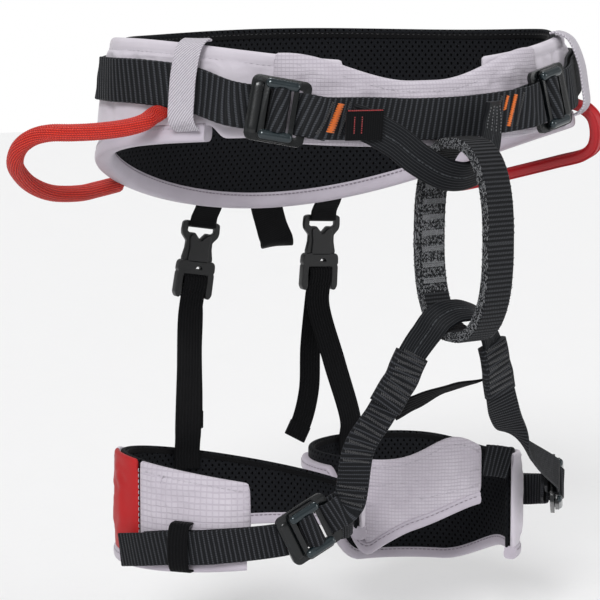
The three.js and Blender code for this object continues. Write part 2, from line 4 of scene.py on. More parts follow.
import bpy
import numpy as np
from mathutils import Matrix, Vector


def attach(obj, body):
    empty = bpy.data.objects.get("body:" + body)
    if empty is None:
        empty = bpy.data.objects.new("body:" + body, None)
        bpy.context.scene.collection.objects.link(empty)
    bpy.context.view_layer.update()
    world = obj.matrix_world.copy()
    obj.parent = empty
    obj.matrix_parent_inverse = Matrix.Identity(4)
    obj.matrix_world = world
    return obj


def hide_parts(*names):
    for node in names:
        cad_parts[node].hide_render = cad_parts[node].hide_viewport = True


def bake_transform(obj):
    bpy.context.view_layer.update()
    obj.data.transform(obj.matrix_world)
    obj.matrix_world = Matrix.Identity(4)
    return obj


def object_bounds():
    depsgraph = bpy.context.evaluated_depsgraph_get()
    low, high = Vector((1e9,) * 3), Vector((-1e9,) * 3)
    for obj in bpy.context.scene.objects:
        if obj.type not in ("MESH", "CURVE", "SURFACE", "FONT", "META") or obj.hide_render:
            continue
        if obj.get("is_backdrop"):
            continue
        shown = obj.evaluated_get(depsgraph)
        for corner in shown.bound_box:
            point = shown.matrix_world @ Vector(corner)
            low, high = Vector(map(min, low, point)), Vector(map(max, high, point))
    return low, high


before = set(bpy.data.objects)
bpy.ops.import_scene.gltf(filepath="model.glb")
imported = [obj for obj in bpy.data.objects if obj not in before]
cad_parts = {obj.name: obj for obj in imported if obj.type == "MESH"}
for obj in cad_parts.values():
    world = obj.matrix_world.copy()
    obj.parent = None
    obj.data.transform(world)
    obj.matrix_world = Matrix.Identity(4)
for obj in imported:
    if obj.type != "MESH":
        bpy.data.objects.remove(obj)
CAD_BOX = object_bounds()
scene = bpy.context.scene
MM = 0.001

# ---------- camera ----------
camera = bpy.data.objects.new("camera", bpy.data.cameras.new("camera"))
scene.collection.objects.link(camera)
EYE = Vector((-0.7270, -1.3145, 0.0914))
AIM = Vector((-0.0296, -0.0029, -0.1173))
camera.location = EYE
camera.rotation_mode = "QUATERNION"
camera.rotation_quaternion = (AIM - EYE).to_track_quat("-Z", "Y")
camera.data.sensor_width = 36
camera.data.lens = 155.2
camera.data.clip_start = 0.05
camera.data.clip_end = 20
scene.camera = camera


# ---------- numbers and curves ----------
def vec(*values):
    return np.array(values, float)


def unit(v):
    v = np.asarray(v, float)
    return v / np.linalg.norm(v, axis=-1, keepdims=True)


def smooth(t):
    t = np.clip(t, 0, 1)
    return t * t * (3 - 2 * t)


def bell(x, at, width):
    return np.exp(-(((x - at) / width) ** 2))


def catmull(points, ring=False, step=1.5):
    """Centripetal spline through the points. Returns the line and each sample's place in knots."""
    points = np.asarray(points, float)
    count = len(points)
    spans = count if ring else count - 1
    line, places = [], []
    for i in range(spans):
        p1, p2 = points[i], points[(i + 1) % count]
        p0 = points[i - 1] if ring or i > 0 else 2 * points[0] - points[1]
        p3 = points[(i + 2) % count] if ring or i + 2 < count else 2 * points[-1] - points[-2]
        d0, d1, d2 = (max(np.linalg.norm(b - a), 1e-6) ** 0.5 for a, b in ((p0, p1), (p1, p2), (p2, p3)))
        m1 = ((p1 - p0) / d0 - (p2 - p0) / (d0 + d1) + (p2 - p1) / d1) * d1
        m2 = ((p2 - p1) / d1 - (p3 - p1) / (d1 + d2) + (p3 - p2) / d2) * d1
        samples = max(2, int(round(np.linalg.norm(p2 - p1) / step)))
        t = np.arange(samples) / samples
        if not ring and i == spans - 1:
            t = np.append(t, 1.0)
        t = t[:, None]
        line.append(p1 + m1 * t + (3 * (p2 - p1) - 2 * m1 - m2) * t ** 2 + (2 * (p1 - p2) + m1 + m2) * t ** 3)
        places.append(i + t[:, 0])
    return np.concatenate(line), np.concatenate(places)


# ---------- meshes ----------
def make(name, points, faces, uv):
    """A smooth mesh object from points in millimetres, with its UV map in millimetres too."""
    mesh = bpy.data.meshes.new(name)
    mesh.from_pydata((np.asarray(points) * MM).tolist(), [], faces)
    layer = mesh.uv_layers.new(name="UVMap")
    layer.data.foreach_set("uv", np.asarray(uv, np.float32).ravel())
    mesh.shade_smooth()
    mesh.set_sharp_from_angle(angle=math.radians(55))
    obj = bpy.data.objects.new(name, mesh)
    scene.collection.objects.link(obj)
    return obj


def grid(name, rows, u, v, ring=False, tube=True, caps=True):
    """A sheet of quads through rows of points: closed along its length if ring, round its section if tube."""
    count, size = rows.shape[:2]
    r, c = np.meshgrid(np.arange(count if ring else count - 1), np.arange(size if tube else size - 1), indexing="ij")
    r, c = r.ravel(), c.ravel()
    rn, cn = (r + 1) % count, (c + 1) % size
    quads = np.stack([r * size + c, rn * size + c, rn * size + cn, r * size + cn], 1)
    places = np.stack([u[np.stack([r, r + 1, r + 1, r], 1), np.stack([c, c, c + 1, c + 1], 1)],
                       v[np.stack([r, r + 1, r + 1, r], 1), np.stack([c, c, c + 1, c + 1], 1)]], -1)
    points = rows.reshape(-1, 3)
    a, b, d = (points[quads[:, k]] for k in (0, 1, 2))
    a2, b2, d2 = (points[quads[:, k]] for k in (0, 2, 3))
    volume = (a * np.cross(b, d)).sum() + (a2 * np.cross(b2, d2)).sum()
    faces, places = quads.tolist(), places.reshape(-1, 4, 2)
    loops = [places.reshape(-1, 2)]
    if caps and tube and not ring:
        for row, backwards in ((0, False), (count - 1, True)):
            order = np.arange(size)[::-1] if backwards else np.arange(size)
            faces.append((row * size + order).tolist())
            loops.append(np.stack([u[row, order], v[row, order]], -1))
    obj = make(name, points, faces, np.concatenate(loops))
    if volume < 0 and tube:
        obj.data.flip_normals()
    return obj


def lengths(line, ring=False):
    ends = np.concatenate([line, line[:1]]) if ring else line
    return np.concatenate([[0], np.cumsum(np.linalg.norm(np.diff(ends, axis=0), axis=1))])


class Strap:
    """A flat strap along knots of (point, direction of its width)."""

    def __init__(self, knots, width, thickness=1.7, ring=False, step=1.2, round_edge=None):
        at = np.array([k[0] for k in knots])
        across = unit(np.array([k[1] for k in knots]))
        self.line, place = catmull(at, ring, step)
        low = np.minimum(place.astype(int), len(at) - 1 if ring else len(at) - 2)
        share = smooth(place - low)[:, None]
        across = across[low] * (1 - share) + across[(low + 1) % len(at)] * share
        if ring:
            along = np.roll(self.line, -1, 0) - np.roll(self.line, 1, 0)
        else:
            along = np.gradient(self.line, axis=0)
        self.along = unit(along)
        self.across = unit(across - (across * self.along).sum(1)[:, None] * self.along)
        self.out = np.cross(self.along, self.across)
        self.s = lengths(self.line, ring)
        self.width, self.thickness, self.ring = width, thickness, ring
        self.length = self.s[-1]
        self.edge = thickness / 2 if round_edge is None else round_edge

    def section(self):
        """Half widths and heights round the section, with soft edges."""
        w, t, e = self.width / 2, self.thickness / 2, min(self.edge, self.thickness / 2)
        turn = np.radians([0, 22, 45, 68, 90])
        side = [(w - e + e * math.cos(a), t - e + e * math.sin(a)) for a in turn]
        flat = [(x, t) for x in np.linspace(w - e, -(w - e), 9)[1:-1]]
        top = side + flat + [(-x, y) for x, y in side[::-1]]
        return np.array(top + [(-x, -y) for x, y in top[1 if t == e else 0:-1 if t == e else None]])

    def mesh(self, name, wobble=0.0, rib=None):
        """The strap's solid, with its woven ribs (pitch, slant, depth) as relief where they are given."""
        section = self.section()
        lift = 0.0
        if wobble:
            s = self.s[:len(self.line)]
            fade = np.minimum(1, np.minimum(s, self.length - s) / 8)
            lift = (wobble * fade * (np.sin(s / 6.1) + 0.6 * np.sin(s / 3.7 + 1.3)))[:, None, None]
        width, height = section[None, :, 0], section[None, :, 1]
        if rib:
            pitch, slant, depth = rib
            relief = depth * np.sin((self.s[:len(self.line), None] + slant * width) * 2 * np.pi / pitch)
            width, height = width * (1 + relief / self.width), height - np.sign(height) * relief
        rows = (self.line[:, None] + self.across[:, None] * (width + 0 * height)[..., None]
                + self.out[:, None] * (height[..., None] + lift))
        closed = np.concatenate([section[:, 0], section[:1, 0]])
        u = np.repeat((self.s if self.ring else self.s)[:, None], len(closed), 1)
        v = np.repeat(closed[None], len(self.s), 0)
        return grid(name, rows, u, v, ring=self.ring)

    def at(self, s, v=0.0, lift=0.0, facing=None, side=1):
        """Points on the strap's face at arc length s and v across, with the direction out of the face."""
        s, v = np.broadcast_arrays(np.asarray(s, float), np.asarray(v, float))
        keys = self.s[:len(self.line)]
        take = lambda values: np.stack([np.interp(s, keys, values[:, k]) for k in range(3)], -1)
        out = unit(take(self.out))
        if facing is not None:
            side = np.where((out * np.asarray(facing)).sum(-1) >= 0, 1, -1)[..., None]
        return (take(self.line) + unit(take(self.across)) * v[..., None]
                + out * side * (self.thickness / 2 + lift)), out * side


def threads(name, starts, ends, outs, radius=0.22, arch=0.5):
    """Short stitches as rounded threads that sink into the cloth at both ends."""
    starts, ends, outs = (np.asarray(x, float).reshape(-1, 3) for x in (starts, ends, outs))
    along = unit(ends - starts)
    side = unit(np.cross(outs, along))
    up = np.cross(along, side)
    share = vec(0, 0.14, 0.5, 0.86, 1)
    girth = vec(0.25, 0.85, 1, 0.85, 0.25) * radius
    rise = vec(-0.7, 0.1, arch, 0.1, -0.7) * radius
    turn = np.arange(6) / 6 * 2 * np.pi
    centre = starts[:, None] + (ends - starts)[:, None] * share[None, :, None] + up[:, None] * rise[None, :, None]
    ring = side[:, None, None] * np.cos(turn)[None, None, :, None] + up[:, None, None] * np.sin(turn)[None, None, :, None]
    points = centre[:, :, None] + ring * girth[None, :, None, None]
    number = len(starts)
    r, c = np.meshgrid(np.arange(4), np.arange(6), indexing="ij")
    r, c = r.ravel(), c.ravel()
    quad = np.stack([r * 6 + c, r * 6 + (c + 1) % 6, (r + 1) * 6 + (c + 1) % 6, (r + 1) * 6 + c], 1)
    base = (np.arange(number) * 30)[:, None, None]
    faces = (quad[None] + base).reshape(-1, 4).tolist()
    uv = np.zeros((len(faces) * 4, 2), np.float32)
    long = np.linalg.norm(ends - starts, axis=1)
    uv[:, 0] = (share[np.stack([r, r, r + 1, r + 1], 1)][None] * long[:, None, None]).reshape(-1)
    uv[:, 1] = np.tile(np.stack([c, c + 1, c + 1, c], 1)[None] * radius, (number, 1, 1)).reshape(-1)
    return make(name, points.reshape(-1, 3), faces, uv)


def run_of_stitches(points, outs, length=2.3, gap=0.9):
    """Starts, ends and outward directions of stitches along a line of points."""
    s = lengths(points)
    count = max(1, int(s[-1] // (length + gap)))
    first = (s[-1] - count * (length + gap) + gap) / 2 + np.arange(count) * (length + gap)
    take = lambda at, values: np.stack([np.interp(at, s, values[:, k]) for k in range(3)], -1)
    return take(first, points), take(first + length, points), unit(take(first + length / 2, outs))


def join(*runs):
    return tuple(np.concatenate([r[k] for r in runs]) for k in range(3))


def zigzag(place, s0, s1, v0, v1, pitch=0.9, rows=1, lift=0.0, **kw):
    """A bartack: threads that run back and forth between v0 and v1 while they step from s0 to s1."""
    runs = []
    for k in range(rows):
        a, b = v0 + (v1 - v0) * k / rows, v0 + (v1 - v0) * (k + 1) / rows
        s = np.arange(s0, s1, pitch / 2)
        v = np.where(np.arange(len(s)) % 2 == 0, a, b)
        points, outs = place(s, v, lift, **kw)
        runs.append((points[:-1], points[1:], outs[:-1]))
    return join(*runs)


# ---------- materials ----------
class Shader:
    """A material whose patterns are worked out from the UV map, which is in millimetres."""

    def __init__(self, name, **sockets):
        self.material = bpy.data.materials.new(name)
        self.material.use_nodes = True
        self.tree = self.material.node_tree
        self.principled = next(n for n in self.tree.nodes if n.type == "BSDF_PRINCIPLED")
        for key, value in sockets.items():
            self.principled.inputs[key.replace("_", " ")].default_value = value
        place = self.node("ShaderNodeTexCoord")
        split = self.node("ShaderNodeSeparateXYZ", place.outputs["UV"])
        self.u, self.v = split.outputs[0], split.outputs[1]
        self.uv, self.solid = place.outputs["UV"], place.outputs["Object"]

    def node(self, kind, *inputs, **settings):
        n = self.tree.nodes.new(kind)
        for key, value in settings.items():
            setattr(n, key, value)
        for socket, value in zip(n.inputs, inputs):
            self.set(socket, value)
        return n

    def set(self, socket, value):
        if isinstance(value, bpy.types.NodeSocket):
            self.tree.links.new(value, socket)
        elif value is not None:
            socket.default_value = value

    def math(self, operation, *inputs):
        return self.node("ShaderNodeMath", *inputs, operation=operation).outputs[0]

    def add(self, a, b):
        return self.math("ADD", a, b)

    def times(self, a, b):
        return self.math("MULTIPLY", a, b)

    def wave(self, x, pitch):
        """0 to 1 and back over each pitch."""
        return self.math("MULTIPLY_ADD", self.math("SINE", self.times(x, 2 * math.pi / pitch)), 0.5, 0.5)

    def fold(self, x, pitch):
        """A triangle wave, 0 to 1 and back over each pitch."""
        return self.times(self.math("PINGPONG", x, pitch / 2), 2 / pitch)

    def step(self, x, low, high):
        n = self.node("ShaderNodeMapRange", x, low, high, 0.0, 1.0, interpolation_type="SMOOTHSTEP")
        return n.outputs[0]

    def noise(self, scale, detail=3.0, solid=False):
        n = self.node("ShaderNodeTexNoise")
        self.set(n.inputs["Vector"], self.solid if solid else self.uv)
        n.inputs["Scale"].default_value = scale
        n.inputs["Detail"].default_value = detail
        return n.outputs[0]

    def mix(self, share, a, b):
        n = self.node("ShaderNodeMix", data_type="RGBA")
        self.set(n.inputs["Factor"], share)
        for socket, value in ((n.inputs[6], a), (n.inputs[7], b)):
            self.set(socket, value if isinstance(value, bpy.types.NodeSocket) else (*value, 1))
        return n.outputs[2]

    def finish(self, colour, roughness, height, depth):
        self.set(self.principled.inputs["Base Color"], colour)
        self.set(self.principled.inputs["Roughness"], roughness)
        bump = self.node("ShaderNodeBump")
        bump.inputs["Strength"].default_value = 1.0
        bump.inputs["Distance"].default_value = depth * MM
        self.set(bump.inputs["Height"], height)
        self.set(self.principled.inputs["Normal"], bump.outputs[0])
        return self.material


def webbing(name, dark, light, pitch=3.5, slant=0.27, bead=1.15, line=0.78, depth=0.4):
    """Ribbed webbing: smooth bands across the strap, parted by lines of small raised beads whose lighter colour is a
    painted highlight.
    """
    m = Shader(name, Sheen_Weight=0.03, Sheen_Roughness=0.4, Specular_IOR_Level=0.16, IOR=1.35)
    place = m.add(m.add(m.u, m.times(m.v, slant)), m.times(m.noise(0.3, 2), 0.3))
    rib = m.wave(place, pitch)
    stripe = m.step(rib, line - 0.2, line + 0.14)
    beads = m.times(stripe, m.math("MULTIPLY_ADD", m.wave(m.add(m.v, m.times(m.u, 0.3)), bead), 0.75, 0.25))
    fine = m.times(m.wave(m.u, 0.55), m.wave(m.v, 0.7))
    height = m.add(m.add(m.times(rib, -0.45), m.times(beads, 0.55)), m.times(fine, 0.12))
    fleck = m.noise(2.2, 3)
    # the beads lift the colour to the light tone, a painted highlight along the rib lines; fleck adds random tone
    tone = m.math("MULTIPLY_ADD", fleck, 0.5, m.math("MULTIPLY_ADD", beads, 0.95, -0.14))
    roughness = m.math("MULTIPLY_ADD", m.noise(0.35), 0.2, 0.46)
    return m.finish(m.mix(tone, dark, light), roughness, height, depth)


def tape(name, dark, light, line):
    """Smooth tubular tape with fine pale pinstripes along it and a broken line of stitches down the middle."""
    m = Shader(name, Sheen_Weight=0.03, Sheen_Roughness=0.35, Specular_IOR_Level=0.2, IOR=1.38)
    wander = m.add(m.v, m.times(m.noise(0.12, 1), 0.35))
    stripe = m.step(m.wave(m.add(wander, 0.4), 1.55), 0.9, 1.0)
    dashes = m.math("MULTIPLY_ADD", m.wave(m.u, 0.9), 0.5, 0.5)
    middle = m.math("SUBTRACT", 1.0, m.step(m.math("ABSOLUTE", m.v), 0.25, 0.5))
    gaps = m.times(middle, m.step(m.noise(0.5, 2), 0.42, 0.55))
    rib = m.wave(m.add(m.u, m.times(m.v, 0.5)), 0.9)
    height = m.add(m.add(m.times(rib, 0.3), m.times(stripe, 0.5)), m.times(middle, -0.6))
    cloth_colour = m.mix(m.noise(0.9, 4), dark, light)
    pale = m.math("MAXIMUM", m.times(m.times(stripe, dashes), 0.5), m.times(gaps, 0.5))
    roughness = m.math("MULTIPLY_ADD", m.noise(0.5), 0.25, 0.42)
    return m.finish(m.mix(pale, cloth_colour, line), roughness, height, 0.22)


def elastic(name, dark, light):
    """Elastic: rubber threads draw soft ridges along it, with narrow ribs across."""
    m = Shader(name, Sheen_Weight=0.02, Sheen_Roughness=0.5, Specular_IOR_Level=0.12, IOR=1.35)
    cords = m.wave(m.v, 1.9)
    rib = m.wave(m.u, 0.9)
    height = m.add(m.times(rib, 0.25), m.times(cords, 0.75))
    tone = m.add(m.times(height, 0.45), m.times(m.noise(1.4, 3), 0.4))
    return m.finish(m.mix(tone, dark, light), m.math("MULTIPLY_ADD", m.noise(0.5), 0.2, 0.6), height, 0.4)


def twill(name, dark, light):
    """Narrow woven elastic with a fine diagonal twill."""
    m = Shader(name, Sheen_Weight=0.15, Sheen_Roughness=0.5, Specular_IOR_Level=0.3)
    lines = m.wave(m.add(m.times(m.u, 0.75), m.v), 1.5)
    knots = m.wave(m.math("SUBTRACT", m.u, m.v), 0.8)
    height = m.add(m.times(lines, 0.7), m.times(m.times(lines, knots), 0.3))
    tone = m.math("MULTIPLY_ADD", height, 0.9, m.math("MULTIPLY_ADD", m.noise(0.5, 3), 0.4, -0.1))
    return m.finish(m.mix(tone, dark, light), m.math("MULTIPLY_ADD", m.noise(0.5), 0.2, 0.55), height, 0.3)


def cloth(name, base, shade, ripstop=0.0, sheen=0.25, depth=0.14):
    """Fine woven shell fabric, with a ripstop grid where asked for, and faint handling marks."""
    m = Shader(name, Sheen_Weight=sheen, Sheen_Roughness=0.45, Specular_IOR_Level=0.3)
    weave = m.add(m.wave(m.u, 0.62), m.wave(m.v, 0.62))
    height = m.times(weave, 0.28)
    marks = m.noise(0.045, 5)
    tone = m.math("MULTIPLY_ADD", m.add(m.times(height, 0.25), marks), 1.15, -0.32)
    if ripstop:
        level, upright = (m.step(m.wave(place, ripstop), 0.8, 0.97) for place in (m.v, m.u))
        lines = m.math("MAXIMUM", level, m.times(upright, 0.45))
        height = m.math("SUBTRACT", height, m.times(lines, 0.9))
        tone = m.math("SUBTRACT", tone, m.times(lines, 0.75))
    return m.finish(m.mix(tone, shade, base), m.math("MULTIPLY_ADD", marks, 0.3, 0.5), height, depth)


def perforated(name, pitch=4.4):
    """Spacer mesh: a knitted face with staggered small holes, coloured near-black as painted shade inside them."""
    m = Shader(name, Sheen_Weight=0.02, Sheen_Roughness=0.4, Specular_IOR_Level=0.08, IOR=1.3)
    dots = m.times(m.wave(m.add(m.u, m.times(m.v, 0.85)), pitch), m.wave(m.math("SUBTRACT", m.times(m.v, 0.85), m.u), pitch))
    hole = m.step(dots, 0.5, 0.74)
    knit = m.wave(m.add(m.v, m.times(m.wave(m.u, pitch), 0.5)), 0.8)
    height = m.add(m.times(hole, -1.0), m.times(knit, 0.14))
    face = m.mix(m.add(m.times(knit, 0.35), m.times(m.noise(1.3, 3), 0.5)), (0.0042, 0.0045, 0.0055), (0.018, 0.0193, 0.0225))
    # the holes take a near-black colour: painted shade inside the holes
    return m.finish(m.mix(hole, face, (0.0006, 0.0006, 0.0008)), m.math("MULTIPLY_ADD", hole, 0.3, 0.6), height, 0.8)


def braid(name, dark, light, columns=22, around=26.0):
    """Braided sheath: columns of small slanting stitches that run along the cord, lighter on their tops and darker
    between them as painted highlight and painted shade.
    """
    m = Shader(name, Sheen_Weight=0.05, Sheen_Roughness=0.3, Specular_IOR_Level=0.4)
    width = around / columns
    column = m.wave(m.v, width)
    lean = m.times(m.fold(m.v, 2 * width), 0.7)
    stitch = m.wave(m.add(m.u, lean), 1.3)
    bead = m.times(m.math("POWER", column, 0.6), m.math("MULTIPLY_ADD", stitch, 0.65, 0.35))
    # colour follows the stitch relief: painted highlight on the stitch tops, painted shade between them, plus a little
    # random tone
    tone = m.math("MULTIPLY_ADD", bead, 1.1, m.math("MULTIPLY_ADD", m.noise(0.5, 4), 0.3, -0.2))
    return m.finish(m.mix(tone, dark, light), m.math("MULTIPLY_ADD", m.noise(0.4), 0.2, 0.36), bead, 0.5)


def hard(name, base, worn, metal, rough, grain=900.0, depth=0.05, coat=0.0):
    """Moulded plastic or anodised metal, with fine grain, cloudy gloss and worn lighter patches."""
    m = Shader(name, Metallic=metal, Coat_Weight=coat, Coat_Roughness=0.2)
    cloud = m.noise(55.0, 4, solid=True)
    wear = m.step(m.noise(210.0, 6, solid=True), 0.56, 0.75)
    grained = m.noise(grain, 3, solid=True)
    roughness = m.add(m.math("MULTIPLY_ADD", cloud, 0.22, rough - 0.1), m.times(wear, 0.12))
    return m.finish(m.mix(m.times(wear, 0.45), base, worn), roughness, grained, depth)


def yarn(name, dark, light):
    """Sewing thread, twisted."""
    m = Shader(name, Sheen_Weight=0.3, Sheen_Roughness=0.4)
    ply = m.wave(m.add(m.u, m.times(m.v, 3.0)), 0.5)
    return m.finish(m.mix(m.add(m.times(ply, 0.6), m.times(m.noise(0.7, 2), 0.5)), dark, light),
                    m.math("MULTIPLY_ADD", ply, 0.1, 0.45), ply, 0.08)


# in each webbing (and in mesh_edge_tape below) the light tone is mostly the colour of the painted highlight on the bead
# lines
BLACK_WEB = webbing("black_webbing", (0.0026, 0.0029, 0.0036), (0.06, 0.064, 0.073))
LEG_WEB = webbing("leg_webbing", (0.0026, 0.0029, 0.0036), (0.052, 0.055, 0.063), pitch=2.6, slant=0.1, line=0.8)
RIB_WEB = webbing("belay_webbing", (0.003, 0.0033, 0.004), (0.046, 0.048, 0.053), pitch=2.4, slant=0.0, line=0.6, depth=0.5)
FINE_WEB = webbing("fine_webbing", (0.0015, 0.0016, 0.002), (0.007, 0.0074, 0.0085), pitch=1.3, slant=0.0, depth=0.15)
TAPE = tape("tie_in_tape", (0.003, 0.0034, 0.0043), (0.0085, 0.0095, 0.012), (0.10, 0.108, 0.118))
ELASTIC = elastic("black_elastic", (0.0011, 0.0011, 0.0014), (0.0075, 0.0078, 0.009))
MESH = perforated("spacer_mesh")
EDGE = webbing("mesh_edge_tape", (0.0018, 0.0018, 0.0022), (0.0075, 0.0076, 0.009), pitch=0.9, slant=0.0, depth=0.15)
LILAC = cloth("lilac_shell", (0.66, 0.625, 0.68), (0.53, 0.49, 0.55))
LILAC_RIB = cloth("lilac_ribbed", (0.66, 0.625, 0.68), (0.46, 0.42, 0.48), ripstop=2.1, depth=0.16)
LILAC_RIPSTOP = cloth("lilac_ripstop", (0.65, 0.615, 0.67), (0.46, 0.42, 0.48), ripstop=3.4, depth=0.16)
LILAC_BIND = cloth("lilac_binding", (0.56, 0.52, 0.585), (0.42, 0.38, 0.44), depth=0.12)
LILAC_ELASTIC = twill("lilac_elastic", (0.30, 0.275, 0.32), (0.66, 0.63, 0.685))
RED_CLOTH = cloth("red_fabric", (0.50, 0.013, 0.015), (0.36, 0.007, 0.009), sheen=0.08, depth=0.12)
# the dark and light reds of the braid are the painted shade and painted highlight ends of one red yarn
RED_BRAID = braid("red_braid", (0.30, 0.002, 0.003), (0.88, 0.05, 0.022))
RED_STRIP = hard("red_moulding", (0.40, 0.006, 0.011), (0.50, 0.016, 0.02), 0.0, 0.42, depth=0.03)
METAL = hard("buckle_metal", (0.002, 0.0032, 0.004), (0.009, 0.014, 0.016), 0.35, 0.26, coat=0.3)
RIM_METAL = hard("buckle_rim_metal", (0.009, 0.019, 0.024), (0.03, 0.045, 0.052), 0.45, 0.22, coat=0.6)
PLASTIC = hard("clip_plastic", (0.003, 0.0034, 0.0042), (0.009, 0.0095, 0.011), 0.0, 0.36, depth=0.04)
ORANGE = yarn("orange_thread", (0.85, 0.13, 0.003), (1.0, 0.25, 0.008))
GREY = yarn("grey_thread", (0.10, 0.104, 0.112), (0.34, 0.35, 0.37))
DARK = yarn("black_thread", (0.006, 0.006, 0.008), (0.03, 0.031, 0.036))
RED_THREAD = yarn("red_thread", (0.35, 0.008, 0.012), (0.62, 0.03, 0.035))
LILAC_THREAD = yarn("lilac_thread", (0.42, 0.385, 0.44), (0.68, 0.65, 0.71))
MAUVE_THREAD = yarn("mauve_thread", (0.13, 0.105, 0.135), (0.32, 0.27, 0.33))


def piece(obj, material, body, slot, *nodes):
    """Gives a piece its material and body, and says which CAD nodes it stands for; its slot is not used."""
    obj.data.materials.clear()
    obj.data.materials.append(material)
    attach(obj, body)
    if nodes:
        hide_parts(*nodes)
    return obj


def sewn(name, run, material, body, slot, radius=0.22):
    return piece(threads(name, *run, radius=radius), material, body, slot)


# ---------- the belt and leg surfaces, as in the CAD ----------
def waves(angle, level, one, two, three):
    a = np.radians(angle)
    return level + one * np.cos(a) + two * np.cos(2 * a) + three * np.cos(3 * a)


def belt_top(angle):
    return waves(angle, 33, -4.5, -3.2, -2)


def belt_bottom(angle):
    return waves(angle, -35.7, 27, -9.2, 1.6)


def front_pad_top(angle):
    return 13.5 + 16 * smooth((np.abs(angle) - 3) / 29)


def web_level(angle):
    return -7.2 + 10.35 * (1 - np.cos(np.pi * np.minimum(np.abs(angle) / 76, 1)))


def belt_point(angle, z, out=0.0):
    angle, z, out = np.broadcast_arrays(*(np.asarray(x, float) for x in (angle, z, out)))
    a = np.radians(angle)
    return np.stack([(146 + out - 0.13 * z) * np.sin(a), -(90 + out - 0.13 * z) * np.cos(a), z], -1)


LEGS = {"right": ((-73, -11), 72, 55), "left": ((66, 31), 67, 54)}


def leg_point(leg):
    (cx, cy), half_width, half_depth = LEGS[leg]
    turn = math.radians(-28)

    def point(angle, z, out=0.0):
        angle, z, out = np.broadcast_arrays(*(np.asarray(x, float) for x in (angle, z, out)))
        a = np.radians(angle)
        x, y = (half_width + out) * np.sin(a), -(half_depth + out) * np.cos(a)
        return np.stack([cx + x * math.cos(turn) - y * math.sin(turn),
                         cy + x * math.sin(turn) + y * math.cos(turn), z], -1)
    return point


def right_top(angle):
    return -211 - 12 * np.cos(np.radians(angle - 105))


def right_bottom(angle):
    return -257 + 5 * np.cos(np.radians(angle - 105))


def left_top(angle):
    return -217.5 + 14 * bell(angle, 21, 20) - 7 * bell(angle, -232, 30)


def left_bottom(angle):
    neck = smooth((angle + 150) / 50) * (1 - smooth((angle + 52) / 30))
    high = smooth((angle + 60) / 60)
    outer = -300 + 15 * smooth((-angle - 200) / 50)
    level = outer * (1 - high) + (-262 + 17 * smooth((angle + 15) / 55)) * high
    return level * (1 - neck) - 232 * neck


LEG_TOP = {"right": right_top, "left": left_top}
LEG_BOTTOM = {"right": right_bottom, "left": left_bottom}


# ---------- padded pieces ----------
PADS = []


def slab(name, point, start, end, bottom, top, inner, outer, step=3.0, crown=0.0, seams=None, relief=None,
         radius=2.6, ends=5.0):
    """A padded band on a surface: rounded edges, a crowned outer face and grooves along its seams."""
    middle = point(np.linspace(start, end, 200), (bottom(np.linspace(start, end, 200))
                                                  + top(np.linspace(start, end, 200))) / 2)
    count = int(lengths(middle)[-1] / step) + 1
    angle = np.linspace(start, end, count)
    run = np.interp(angle, np.linspace(start, end, 200), lengths(middle))
    low, high = bottom(angle), top(angle)
    thick = outer - inner
    r = min(radius, thick / 2)
    tall = float(np.max(high - low))
    inside = np.linspace(0, 1, int(tall / step) + 1)[1:-1]
    near = vec(0, 0.12, 0.45, 1.0) * r

    def face(level, sign):
        """Height above the low edge and depth of the edge rounding, for one face."""
        rows = [near[:, None] + 0 * level, (r + (level - 2 * r) * inside[:, None]), level - near[::-1, None]]
        height = np.concatenate(rows)
        d = np.clip(np.minimum(height, level - height), 0, r)
        drop = r - np.sqrt(np.maximum(r * r - (r - d) ** 2, 0)) + (thick / 2 - r) * (1 - smooth(d / r))
        return height, drop

    level = high - low
    height, drop = face(level, 1)
    z_out = (low + height).T
    share = np.clip(height / level, 0, 1).T
    from_end = np.minimum(run, run[-1] - run)[:, None]
    swell = crown * (1 - (2 * share - 1) ** 4) * smooth(from_end / 14)
    tuck = (thick / 2) * (1 - np.sqrt(np.clip(1 - (1 - np.clip(from_end / ends, 0, 1)) ** 2, 0, 1)))
    out_face = outer - np.maximum(drop.T, tuck * 0.9) + swell
    in_face = inner + np.maximum(drop.T, tuck * 0.9)
    groove = np.zeros_like(out_face) if seams is None else seams(angle[:, None], z_out, share, run[:, None])
    out_face = out_face - groove
    if relief is not None:
        out_face = out_face + relief(angle[:, None], z_out, share, run[:, None])
    outer_rows = point(angle[:, None], z_out, out_face)
    inner_rows = point(angle[:, None], z_out, in_face)[:, ::-1]
    rows = np.concatenate([outer_rows, inner_rows[:, 1:-1]], 1)
    levels = np.concatenate([z_out, z_out[:, ::-1][:, 1:-1], z_out[:, :1]], 1)
    obj = grid(name, rows, np.repeat(run[:, None], levels.shape[1], 1), levels)
    faces = outer_rows.shape[1]
    free = np.zeros(rows.shape[:2])
    free[:, :faces] = (smooth((np.minimum(height, level - height).T - 3.5) / 5) * smooth((from_end - 4) / 8)
                       * np.clip(1 - groove / 0.35, 0, 1))
    obj["free"] = 1
    PADS.append((obj, free.ravel()))
    return obj


